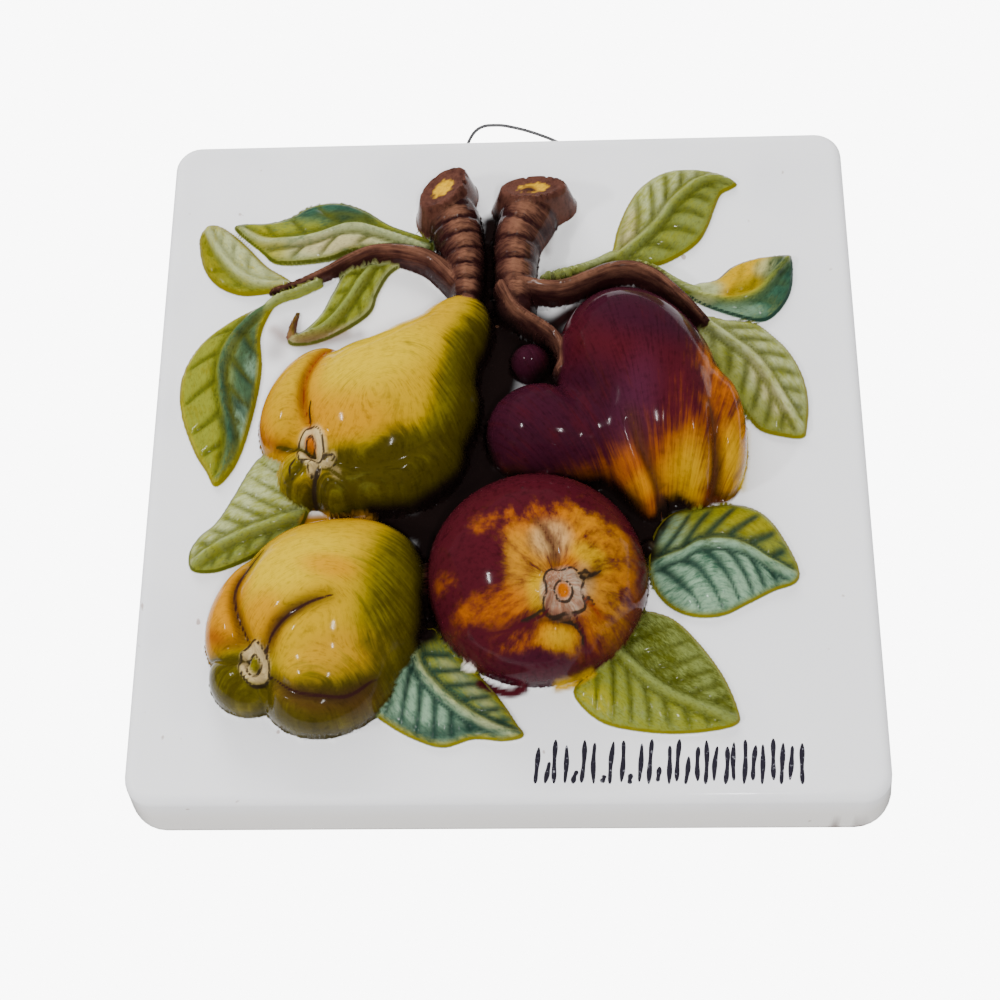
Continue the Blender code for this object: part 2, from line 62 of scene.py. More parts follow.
UNIT = 0.001  # one layout unit in metres
WALL_SLOPE = 2.5  # how steeply the foot of every form rises
DEEPEST = -4.0  # how far down a form's foot is followed, so that its paint reaches past its outline
FORM_BLEND = 0.5  # how high the valley between two forms is filled
FOOT_BLEND = 1.1  # and the one between a form and the ground, where glaze pools
PAINT_BLEND = 0.8  # the height over which one form's paint gives way to the next one's
REACH_MARGIN = 3.0  # how far past its outline a form is followed
NO_LINE = 9.0  # the distance, in half widths, that stands for no line nearby
CRISP_ANGLE = math.radians(60)  # a mesh's edge stays crisp where its faces turn by more


class Glaze(Enum):
    """The paints and bodies of the tile, as the share of light that they return, from 0 to 255."""

    WHITE = (229, 229, 231)
    LILAC_SHADE = (214, 215, 224)
    WARM_SHADE = (214, 207, 196)
    CREAM = (188, 164, 116)
    YELLOW = (170, 134, 0)
    PALE_YELLOW = (188, 158, 0)
    AMBER = (172, 112, 0)
    ORANGE = (160, 84, 0)
    RUST = (108, 42, 8)
    OCHRE = (160, 112, 24)
    MAROON = (60, 15, 23)
    PURPLE = (66, 30, 52)
    PLUM = (46, 14, 27)
    BLACK = (20, 12, 11)
    SOOT = (32, 24, 18)
    BROWN = (72, 40, 22)
    BARK = (80, 49, 40)
    BARK_LIGHT = (128, 88, 66)
    BARK_DARK = (39, 18, 18)
    WOOD = (196, 150, 14)
    OLIVE = (104, 96, 12)
    DARK_OLIVE = (58, 50, 6)
    LIME = (115, 119, 36)
    YELLOW_GREEN = (144, 134, 12)
    LEAF_OLIVE = (66, 70, 14)
    PALE_GREEN = (156, 162, 114)
    SAGE = (112, 122, 64)
    TEAL = (44, 76, 58)
    DEEP_TEAL = (24, 46, 38)
    PALE_TEAL = (122, 152, 124)
    CLAY = (176, 160, 136)
    INK = (26, 23, 34)
    STEEL = (74, 74, 76)

    @property
    def linear(self) -> Array:
        """The colour as scene-linear red, green and blue."""
        share = np.array(self.value, float) / 255
        return np.where(share <= 0.04045, share / 12.92, ((share + 0.055) / 1.055) ** 2.4)


def smooth_step(low: float, high: float, value: Array) -> Array:
    """A soft step: 0 below low, 1 above high (or the reverse when high is below low)."""
    t = np.clip((value - low) / (high - low), 0, 1)
    return t * t * (3 - 2 * t)


def hollow(distance: Array, width: float) -> Array:
    """A rounded groove or ridge of unit depth across a line."""
    return np.exp(-((distance / width) ** 2))


def smooth_max(a: Array, b: Array | float, blend: float) -> Array:
    """The larger of two heights, with the valley where they meet filled over about this height."""
    return np.maximum(a, b) + np.maximum(blend - np.abs(a - b), 0) ** 2 / (4 * blend)


def ramp(value: Array, start: float, length: float) -> Array:
    """A straight step: 0 up to its start, and 1 past its length."""
    return np.clip((value - start) / length, 0, 1)


def taper(along: Array, tips: float, fullness: float) -> Array:
    """How wide a stroke is at each share of its length, from its tips' width to 1 in its middle."""
    return tips + (1 - tips) * np.sqrt(np.clip(fullness * along * (1 - along), 0, 1))


def tint(paint: Array, colour: Glaze, weight: Array) -> None:
    """Moves the colours of a set of places towards one paint, by the weight at each place."""
    paint += (colour.linear - paint) * weight[:, None]


def curve_through(points: Path, closed: bool, steps: int = 10) -> Array:
    """The smooth curve that passes through the points.

    Args:
        points: The places that it passes.
        closed: Whether it comes back to the first one.
        steps: How many places it gets between two points.

    Returns:
        The curve's places, one (x, z) a row.
    """
    at = np.array(points, float)
    if closed:
        before, after, later = np.roll(at, 1, 0), np.roll(at, -1, 0), np.roll(at, -2, 0)
    else:
        long = np.vstack([2 * at[0] - at[1], at, 2 * at[-1] - at[-2]])
        before, at, after, later = long[:-3], long[1:-2], long[2:-1], long[3:]
    t = np.linspace(0, 1, steps, endpoint=False)[None, :, None]
    a, b, c, d = (part[:, None, :] for part in (before, at, after, later))
    curve = 0.5 * (2 * b + (c - a) * t + (2 * a - 5 * b + 4 * c - d) * t**2 + (3 * b - a - 3 * c + d) * t**3)
    curve = curve.reshape(-1, 2)
    return np.vstack([curve, curve[:1] if closed else points[-1:]])


def nearest(curve: Array, x: Array, z: Array) -> tuple[Array, Array]:
    """Finds the place on a curve that is nearest to each given place.

    Args:
        curve: The curve's places, one a row.
        x: The given places across.
        z: The given places up.

    Returns:
        The share of the curve's length at the nearest place, and the distance to it, positive on its left.
    """
    start, step = curve[:-1], np.diff(curve, axis=0)
    off_x = x[:, None] - start[:, 0]
    off_z = z[:, None] - start[:, 1]
    size = np.hypot(step[:, 0], step[:, 1])
    t = np.clip((off_x * step[:, 0] + off_z * step[:, 1]) / size**2, 0, 1)
    off_x -= t * step[:, 0]
    off_z -= t * step[:, 1]
    distance = off_x**2 + off_z**2
    which = distance.argmin(axis=1)
    row = np.arange(len(x))
    side = np.sign(step[which, 0] * off_z[row, which] - step[which, 1] * off_x[row, which])
    run = np.concatenate([[0], np.cumsum(size)])
    return (run[which] + t[row, which] * size[which]) / run[-1], side * np.sqrt(distance[row, which])


def inside(outline: Array, x: Array, z: Array) -> Array:
    """How far each place lies inside a closed outline, and below 0 outside it.

    Args:
        outline: The outline's places, one a row.
        x: The places across.
        z: The places up.

    Returns:
        The depths, in layout units.
    """
    near = np.abs(nearest(outline, x, z)[1])
    x0, z0 = outline[:-1].T
    x1, z1 = outline[1:].T
    spans = (z0 > z[:, None]) != (z1 > z[:, None])
    rise = np.where(z1 == z0, 1, z1 - z0)
    crossed = (spans & (x[:, None] < x0 + (z[:, None] - z0) / rise * (x1 - x0))).sum(axis=1)
    return np.where(crossed % 2 == 1, near, -near)


def oval(centre: Point, half_size: Point, turn: float, x: Array, z: Array) -> tuple[Array, Array]:
    """The places in an oval's own frame, where its outline lies at distance 1.

    Args:
        centre: The oval's middle.
        half_size: Its half sizes along and across.
        turn: How far it is turned, in degrees.
        x: The places across.
        z: The places up.

    Returns:
        The places along and across, in half sizes.
    """
    off_x, off_z = x - centre[0], z - centre[1]
    cosine, sine = math.cos(math.radians(turn)), math.sin(math.radians(turn))
    return (off_x * cosine + off_z * sine) / half_size[0], (off_z * cosine - off_x * sine) / half_size[1]


def reach_of(points: Path | Array, pad: float) -> tuple[Array, Array]:
    """The lowest and highest corner of the places, with a margin."""
    at = np.array(points, float)
    return at.min(axis=0) - pad, at.max(axis=0) + pad


@dataclass
class Coat:
    """The paint at a set of places: two paints that brush strokes share, and fine lines over them."""

    under: Array
    over: Array
    share: Array
    brush: Array
    line: Array
    line_colour: Array

    @classmethod
    def plain(cls, count: int, under: Glaze, over: Glaze, line: Glaze) -> "Coat":
        """A coat of one under paint with no strokes and no lines.

        Args:
            count: How many places it covers.
            under: The paint under the strokes.
            over: The paint of the strokes.
            line: The paint of the lines.

        Returns:
            The coat.
        """
        wide = np.ones((count, 1))
        share, brush, far = np.zeros(count), np.zeros((count, 3)), np.full(count, NO_LINE)
        return cls(wide * under.linear, wide * over.linear, share, brush, far, wide * line.linear)

    def cover(self, other: "Coat", where: Array, weight: Array) -> None:
        """Lays another coat over this one.

        Args:
            other: The coat on top, for the places in where.
            where: Which of this coat's places it lies on.
            weight: How much it covers each of them, from 0 to 1.
        """
        for name in ("under", "over", "share", "line_colour"):
            mine, theirs = getattr(self, name), getattr(other, name)
            w = weight[:, None] if mine.ndim == 2 else weight
            mine[where] = mine[where] * (1 - w) + theirs * w
        won = weight > 0.5
        at = np.flatnonzero(where)[won]
        self.brush[at] = other.brush[won]
        self.line[at] = other.line[won]


@dataclass(frozen=True)
class Daub:
    """A soft oval patch that changes the paints or how the strokes share them."""

    centre: Point
    half_size: Point
    turn: float = 0
    under: Glaze | None = None
    over: Glaze | None = None
    share: float | None = None
    amount: float = 1  # how much it covers
    soft: float = 0.5  # how wide its edge is, as a share of its size

    def lay(self, coat: Coat, x: Array, z: Array) -> None:
        """Adds the patch to a coat at the coat's own places.

        Args:
            coat: The coat to change.
            x: The places across.
            z: The places up.
        """
        away = np.hypot(*oval(self.centre, self.half_size, self.turn, x, z))
        weight = self.amount * smooth_step(1 + self.soft, 1 - self.soft, away)
        if self.under:
            tint(coat.under, self.under, weight)
        if self.over:
            tint(coat.over, self.over, weight)
        if self.share is not None:
            coat.share += (self.share - coat.share) * weight


@dataclass(frozen=True)
class Sweep:
    """A soft sweep of the brush along a path, which tints both paints."""

    path: Path
    half_width: float
    colour: Glaze
    amount: float = 0.75
    tips: float = 0.3
    over_share: float = 0.7  # how much of the sweep the over paint takes

    def lay(self, coat: Coat, x: Array, z: Array) -> None:
        """Adds the sweep to a coat at the coat's own places.

        Args:
            coat: The coat to change.
            x: The places across.
            z: The places up.
        """
        along, off = nearest(curve_through(self.path, closed=False), x, z)
        weight = self.amount * hollow(off, self.half_width) * taper(along, self.tips, fullness=5)
        tint(coat.under, self.colour, weight)
        tint(coat.over, self.colour, weight * self.over_share)


@dataclass(frozen=True)
class Line:
    """A fine painted line."""

    path: Path
    half_width: float
    colour: Glaze = Glaze.SOOT
    closed: bool = False
    tips: float = 0.35

    def lay(self, coat: Coat, x: Array, z: Array) -> None:
        """Adds the line to a coat, where it is nearer than the coat's other lines.

        Args:
            coat: The coat to change.
            x: The places across.
            z: The places up.
        """
        along, off = nearest(curve_through(self.path, self.closed), x, z)
        width = 1 if self.closed else taper(along, self.tips, fullness=4)
        away = np.abs(off) / (self.half_width * width)
        nearer = away < coat.line
        coat.line[nearer] = away[nearer]
        coat.line_colour[nearer] = self.colour.linear


class Form(ABC):
    """A raised form of the relief."""

    @abstractmethod
    def reach(self) -> tuple[Array, Array]:
        """The lowest and highest corner of the places that the form can touch."""

    @abstractmethod
    def height(self, x: Array, z: Array) -> Array:
        """How far the form stands off the front at each place, below 0 outside it."""

    @abstractmethod
    def coat(self, x: Array, z: Array) -> Coat:
        """The paint on the form at each place."""


@dataclass(frozen=True)
class Lobe:
    """Half an ellipsoid that stands off the front by its height."""

    centre: Point
    half_size: Point
    turn: float
    height: float

    def raised(self, x: Array, z: Array) -> Array:
        """The lobe's height at each place, with a steep wall round its foot.

        Args:
            x: The places across.
            z: The places up.

        Returns:
            The rises, in layout units.
        """
        share = np.hypot(*oval(self.centre, self.half_size, self.turn, x, z))
        dome = self.height * np.sqrt(np.maximum(1 - share**2, 0))
        return np.where(share < 1, dome, WALL_SLOPE * min(self.half_size) * (1 - share))


@dataclass(frozen=True)
class Crease:
    """A fold in a fruit's skin, deepest where its path starts, with painted shade along it and a line painted
    in it.
    """

    path: Path
    width: float
    depth: float
    line: float = 0.0
    colour: Glaze = Glaze.BROWN
    # how strong the painted shade along the fold is, and how wide, as a share of the fold's width
    shade: float = 0.85
    shade_width: float = 1.1

    def carved(self, x: Array, z: Array) -> Array:
        """How deep the fold is at each place."""
        along, off = nearest(curve_through(self.path, closed=False), x, z)
        return self.depth * hollow(off, self.width) * (1 - along**2)

    def lay(self, coat: Coat, x: Array, z: Array) -> None:
        """Adds the painted shade and the painted line to a coat, on a fold that has them.

        Args:
            coat: The coat to change.
            x: The places across.
            z: The places up.
        """
        if self.line:
            Sweep(self.path, self.width * self.shade_width, self.colour, self.shade).lay(coat, x, z)
            Line(self.path, self.line, self.colour).lay(coat, x, z)


@dataclass(frozen=True)
class Knob:
    """A small rounded rise, or a dent where its height is below 0."""

    centre: Point
    half_size: Point
    turn: float
    height: float
    soft: float = 0.75

    def raised(self, x: Array, z: Array) -> Array:
        """The rise at each place."""
        return self.height * hollow(np.hypot(*oval(self.centre, self.half_size, self.turn, x, z)), self.soft)


@dataclass(frozen=True)
class Ring:
    """A raised oval ring, such as the dried rim of a blossom."""

    centre: Point
    half_size: Point
    turn: float
    width: float
    height: float
    lobes: int = 0
    wave: float = 0.12

    def raised(self, x: Array, z: Array) -> Array:
        """The rise at each place.

        Args:
            x: The places across.
            z: The places up.

        Returns:
            The rises, in layout units.
        """
        across, up = oval(self.centre, self.half_size, self.turn, x, z)
        wave = 1 + self.wave * np.cos(self.lobes * np.arctan2(up, across)) if self.lobes else 1
        return self.height * hollow(np.hypot(across, up) - wave, self.width)


@dataclass(frozen=True)
class Fruit(Form):
    """Lobes that run into each other, with the folds, rings and knobs in their skin."""

    lobes: list[Lobe]
    eye: Point
    under: Glaze
    over: Glaze
    creases: list[Crease] = field(default_factory=list)
    details: list[Knob | Ring] = field(default_factory=list)
    daubs: list[Daub | Sweep] = field(default_factory=list)
    lines: list[Line] = field(default_factory=list)
    blend: float = 2.5  # how high the valley between two lobes is filled
    share: float = 0.0
    skin_foot: float = 6.0  # the height below which the folds fade and painted shade darkens the paint
    under_shade: float = 0.65  # how much painted shade darkens each paint at the foot
    over_shade: float = 0.5
    around: float = 9.0  # how fine the strokes are round the eye
    outward: float = 0.1  # and away from it
    eye_radius: float = 3.0
    contour: float = 0.0  # how fine they are across the contours, or 0 for strokes that run out from the eye
    grain: float = 0.09  # and along them
    slant: float = 0.95  # how much they lean across the contours
    waver: float = 1.5  # how far they waver, and how fast
    waver_pace: Point = (0.13, 0.09)

    def reach(self) -> tuple[Array, Array]:
        """The lowest and highest corner of the places that the fruit can touch."""
        ends = [np.stack(reach_of([lobe.centre], REACH_MARGIN + max(lobe.half_size))) for lobe in self.lobes]
        return reach_of(np.vstack(ends), 0)

    def height(self, x: Array, z: Array) -> Array:
        """How far the fruit stands off the front at each place.

        Args:
            x: The places across.
            z: The places up.

        Returns:
            The heights, in layout units.
        """
        rise = np.full(x.shape, DEEPEST)
        for lobe in self.lobes:
            rise = smooth_max(rise, lobe.raised(x, z), self.blend)
        skin = np.clip(rise / self.skin_foot, 0, 1)
        for crease in self.creases:
            rise = rise - crease.carved(x, z) * skin
        for detail in self.details:
            rise = rise + detail.raised(x, z) * skin
        return rise

    def coat(self, x: Array, z: Array) -> Coat:
        """The fruit's paint, with strokes that run out from its eye.

        Args:
            x: The places across.
            z: The places up.

        Returns:
            The coat.
        """
        coat = Coat.plain(len(x), self.under, self.over, Glaze.SOOT)
        coat.share += self.share
        for daub in self.daubs:
            daub.lay(coat, x, z)
        # painted shade: both paints darken towards the fruit's foot
        foot = smooth_step(self.skin_foot, 0.5, self.height(x, z))[:, None]
        coat.under *= 1 - self.under_shade * foot
        coat.over *= 1 - self.over_shade * foot
        for mark in (*self.creases, *self.lines):
            mark.lay(coat, x, z)
        coat.brush = self.strokes(x, z)
        return coat

    def strokes(self, x: Array, z: Array) -> Array:
        """Places in the brush strokes' own space, in which they are as long as they are wide.

        Args:
            x: The places across.
            z: The places up.

        Returns:
            One place a row. The strokes follow the form's contours, or else run out from its eye.
        """
        if self.contour:
            top = max(lobe.height for lobe in self.lobes)
            size = max(max(lobe.half_size) for lobe in self.lobes)
            ring = size * np.sqrt(np.clip(1 - np.clip(self.height(x, z) / top, 0, 1) ** 2, 0, 1))
            wave = self.waver * np.sin(self.waver_pace[0] * x + self.waver_pace[1] * z)
            level = (ring + self.slant * z + wave) * self.contour
            return np.stack([x * self.grain, z * self.grain, level], axis=1)
        away = np.hypot(x - self.eye[0], z - self.eye[1])
        near = self.around / np.maximum(away, self.eye_radius)
        return np.stack([(x - self.eye[0]) * near, (z - self.eye[1]) * near, away * self.outward], axis=1)


@dataclass(frozen=True)
class Leaf(Form):
    """A blade on an outline, with a midrib from its stalk to its tip and veins at even steps along it."""

    outline: Path
    midrib: Path
    veins: int
    left: Glaze = Glaze.LIME
    right: Glaze = Glaze.LIME
    over: Glaze = Glaze.SAGE
    share: float = 0.3
    vein_colour: Glaze = Glaze.LEAF_OLIVE
    vein_amount: float = 0.85
    outline_colour: Glaze = Glaze.OLIVE
    rib_colour: Glaze = Glaze.PALE_GREEN
    rim: Glaze | None = None
    slant: float = 1.0  # how far forward a vein runs for each unit away from the midrib
    tilt: float = 0.0  # how much the left side rises for each unit away from the midrib
    rise: float = 1.0  # how much of the usual swell the blade has
    vein_half_width: float = 0.95
    daubs: list[Daub | Sweep] = field(default_factory=list)
    edge: float = 2.0  # the margin's height, and how wide its rounding is
    margin: float = 1.3
    swell: float = 2.2  # how far the blade rises from its margin
    swell_width: float = 4.0
    rib_width: float = 1.0
    rib_ridge: float = 0.9
    rib_amount: float = 0.8
    gutter: float = 1.1  # how deep the grooves beside the rib are, as a share of its ridge
    vein_width: float = 0.9
    vein_depth: float = 0.8
    vein_bend: float = 0.015
    outline_half_width: float = 0.3

    def reach(self) -> tuple[Array, Array]:
        """The lowest and highest corner of the places that the leaf can touch."""
        return reach_of(self.outline, REACH_MARGIN)

    def places(self, x: Array, z: Array) -> tuple[Array, Array, Array, Array]:
        """Finds where each place lies on the blade.

        Args:
            x: The places across.
            z: The places up.

        Returns:
            The depth inside the outline, the way along from stalk to tip, the distance to the left of the
            midrib, and the distance to the nearest vein.
        """
        depth = inside(curve_through(self.outline, closed=True), x, z)
        base, tip = np.array(self.midrib[0]), np.array(self.midrib[-1])
        length = math.dist(base, tip)
        chord = (tip - base) / length
        along = (x - base[0]) * chord[0] + (z - base[1]) * chord[1]
        off = (z - base[1]) * chord[0] - (x - base[0]) * chord[1]
        midrib = curve_through(self.midrib, closed=False) - base
        off = off - np.interp(along, midrib @ chord, midrib @ (-chord[1], chord[0]))
        phase = along - self.slant * np.abs(off) * (1 - self.vein_bend * np.abs(off))
        pitch = length / (self.veins + 1)
        return depth, along, off, np.abs((phase / pitch) % 1 - 0.5) * pitch

    def height(self, x: Array, z: Array) -> Array:
        """How far the leaf stands off the front at each place.

        Args:
            x: The places across.
            z: The places up.

        Returns:
            The heights, in layout units.
        """
        depth, _, off, groove = self.places(x, z)
        margin = self.edge * np.sqrt(ramp(depth, 0, self.margin))
        swelling = 1 - hollow(np.maximum(depth, 0), self.swell_width)
        blade = self.rise * self.swell * swelling + self.tilt * off
        beside = hollow(np.abs(off) - 2 * self.rib_width, self.rib_width)
        ridge = self.rib_ridge * (hollow(off, self.rib_width) - self.gutter * beside)
        reach = ramp(np.abs(off), 1, 2) * ramp(depth, 0, 3)
        veins = self.vein_depth * hollow(groove, self.vein_width) * reach
        return np.where(depth > 0, margin + blade + (ridge - veins) * ramp(depth, 0, 2), WALL_SLOPE * depth)

    def coat(self, x: Array, z: Array) -> Coat:
        """The leaf's paint: a colour on each side of the midrib, veins, and a pale rib.

        Args:
            x: The places across.
            z: The places up.

        Returns:
            The coat.
        """
        depth, along, off, groove = self.places(x, z)
        coat = Coat.plain(len(x), self.right, self.over, self.vein_colour)
        coat.share += self.share
        tint(coat.under, self.left, smooth_step(-0.4, 0.4, off))
        for daub in self.daubs:
            daub.lay(coat, x, z)
        tint(coat.under, self.rib_colour, self.rib_amount * hollow(off, self.rib_width))
        if self.rim:
            tint(coat.under, self.rim, self.rib_amount * smooth_step(1.6, 0.5, depth))
        wide = self.vein_half_width * np.clip(1.7 - 0.09 * np.abs(off), 0.4, 1.7)
        vein = hollow(groove, wide) * ramp(np.abs(off), 0.8, 1.5) * ramp(depth, 0.3, 2)
        beside = hollow(np.abs(off) - 2 * self.rib_width, 0.8) * ramp(depth, 0, 2)
        dark = self.vein_amount * np.maximum(vein, beside)
        tint(coat.under, self.vein_colour, dark)
        tint(coat.over, self.vein_colour, 0.8 * dark)
        coat.line = np.abs(depth / self.outline_half_width - 1)
        coat.line_colour[:] = self.outline_colour.linear
        coat.brush = np.stack([along * 0.32, off * 0.9, np.zeros(len(x))], axis=1)
        return coat


@dataclass(frozen=True)
class Twig(Form):
    """A half-round stem along a path, with its half widths and heights at even steps along it."""

    path: Path
    half_widths: list[float]
    heights: list[float]
    rings: int = 0
    under: Glaze = Glaze.BARK
    over: Glaze = Glaze.BARK_DARK
    # the painted highlight along the crest
    ridge: Glaze = Glaze.BARK_LIGHT
    share: float = 0.45
    ring_depth: float = 1.1
    ring_bow: float = 0.05  # how much the rings bow along the twig at its sides
    grain_depth: float = 0.22
    grain_pace: Point = (2.6, 5)  # how fast the fibres follow each other across the twig, and turn along it
    skin_foot: float = 4.0

    def reach(self) -> tuple[Array, Array]:
        """The lowest and highest corner of the places that the twig can touch."""
        return reach_of(self.path, REACH_MARGIN + max(self.half_widths))

    def places(self, x: Array, z: Array) -> tuple[Array, Array, Array, Array]:
        """Finds where each place lies on the twig.

        Args:
            x: The places across.
            z: The places up.

        Returns:
            The share along the path, the distance beside it, and the half width and height there.
        """
        along, off = nearest(curve_through(self.path, closed=False), x, z)
        steps = np.linspace(0, 1, len(self.path))
        return along, off, np.interp(along, steps, self.half_widths), np.interp(along, steps, self.heights)

    def band(self, along: Array, share: Array) -> Array:
        """How near each place is to a groove between two rings of bark, 1 in the groove."""
        return (1 - np.abs(np.sin(math.pi * self.rings * (along - self.ring_bow * share**2)))) ** 2

    def height(self, x: Array, z: Array) -> Array:
        """How far the twig stands off the front at each place.

        Args:
            x: The places across.
            z: The places up.

        Returns:
            The heights, in layout units.
        """
        along, off, half_width, height = self.places(x, z)
        share = np.abs(off) / half_width
        rise = height * np.sqrt(np.maximum(1 - share**2, 0))
        skin = ramp(rise, 0, self.skin_foot)
        if self.rings:
            rise = rise - self.ring_depth * self.band(along, share) * skin
        rise = rise + self.grain_depth * np.sin(self.grain_pace[0] * off + self.grain_pace[1] * along) * skin
        return np.where(share < 1, rise, WALL_SLOPE * (half_width - np.abs(off)))

    def coat(self, x: Array, z: Array) -> Coat:
        """The bark's paint: a painted highlight along its crest, painted shade towards its sides, and light
        rings with dark between them.

        Args:
            x: The places across.
            z: The places up.

        Returns:
            The coat.
        """
        along, off, half_width, _ = self.places(x, z)
        share = np.clip(np.abs(off) / half_width, 0, 1)
        coat = Coat.plain(len(x), self.under, self.over, Glaze.BARK_DARK)
        # painted highlight along the crest, a little to one side
        tint(coat.under, self.ridge, 0.6 * hollow(off / half_width + 0.15, 0.5))
        # painted shade: the darker over paint takes more of the strokes towards the sides
        coat.share = self.share + 0.35 * share**2
        if self.rings:
            coat.share = coat.share + 0.45 * self.band(along, share) - 0.1
            coat.brush = np.stack([off * 0.25, along * 40, np.zeros(len(x))], axis=1)
        else:
            coat.brush = np.stack([off * 1.6, along * len(self.path) * 0.48, np.zeros(len(x))], axis=1)
        return coat


@dataclass(frozen=True)
class CutEnd(Form):
    """A sawn end: a tilted oval face with a raised rim, falling away from the near side."""

    centre: Point
    half_size: Point
    turn: float
    near: float  # the face's height at its near and far sides
    far: float
    heart: float = 0.42  # how far out the yellow wood reaches
    wall: float = 6.6  # how steeply the wood falls away round the face
    rim: float = 0.7
    dish: float = 0.9

    def reach(self) -> tuple[Array, Array]:
        """The lowest and highest corner of the places that the end can touch."""
        return reach_of([self.centre], REACH_MARGIN + max(self.half_size))

    def height(self, x: Array, z: Array) -> Array:
        """How far the end stands off the front at each place.

        Args:
            x: The places across.
            z: The places up.

        Returns:
            The heights, in layout units.
        """
        long, short = oval(self.centre, self.half_size, self.turn, x, z)
        share = np.hypot(long, short)
        face = (self.near + self.far) / 2 - (self.near - self.far) / 2 * short
        rim = self.rim * hollow(share - 0.9, 0.1) - self.dish * hollow(share, 0.5)
        return np.where(share < 1, face + rim, face + self.wall * (1 - share) * self.half_size[1])

    def coat(self, x: Array, z: Array) -> Coat:
        """The end's paint: yellow wood at its heart and dark bark round it.

        Args:
            x: The places across.
            z: The places up.

        Returns:
            The coat.
        """
        share = np.hypot(*oval(self.centre, self.half_size, self.turn, x, z))
        coat = Coat.plain(len(x), Glaze.BARK, Glaze.BARK_DARK, Glaze.SOOT)
        ragged = self.heart + 0.05 * np.sin(1.7 * x + 2.3 * z) + 0.04 * np.sin(3.1 * x - 1.9 * z)
        heart = smooth_step(0.07, -0.07, share - ragged)
        tint(coat.under, Glaze.WOOD, heart)
        tint(coat.over, Glaze.OCHRE, heart)
        coat.share += 0.32
        coat.brush = np.stack([x * 0.5, z * 0.5, share * 2], axis=1)
        return coat


@dataclass(frozen=True)
class Drop(Form):
    """A small drop of glaze."""

    lobe: Lobe
    colour: Glaze

    def reach(self) -> tuple[Array, Array]:
        """The lowest and highest corner of the places that the drop can touch."""
        return reach_of([self.lobe.centre], REACH_MARGIN + max(self.lobe.half_size))

    def height(self, x: Array, z: Array) -> Array:
        """How far the drop stands off the front at each place."""
        return self.lobe.raised(x, z)

    def coat(self, x: Array, z: Array) -> Coat:
        """The drop's one paint."""
        return Coat.plain(len(x), self.colour, self.colour, self.colour)


@dataclass(frozen=True)
class Wash:
    """Paint that was brushed over the ground and the feet of the forms along a path; the dark ones in the
    gaps between the forms are also painted shade.
    """

    path: Path
    half_width: float
    colour: Glaze
    soft: float = 1.5
    amount: float = 1.0
    climb: float = 5.0  # how high up the forms it reaches

    def weight(self, x: Array, z: Array, height: Array) -> Array:
        """How much of the wash lies at each place.

        Args:
            x: The places across.
            z: The places up.
            height: How far the forms stand off the front there.

        Returns:
            The weights, from 0 to 1.
        """
        away = np.abs(nearest(curve_through(self.path, closed=False), x, z)[1])
        side = smooth_step(self.half_width + self.soft, self.half_width - self.soft, away)
        return self.amount * side * smooth_step(self.climb * 1.5, self.climb * 0.5, height)


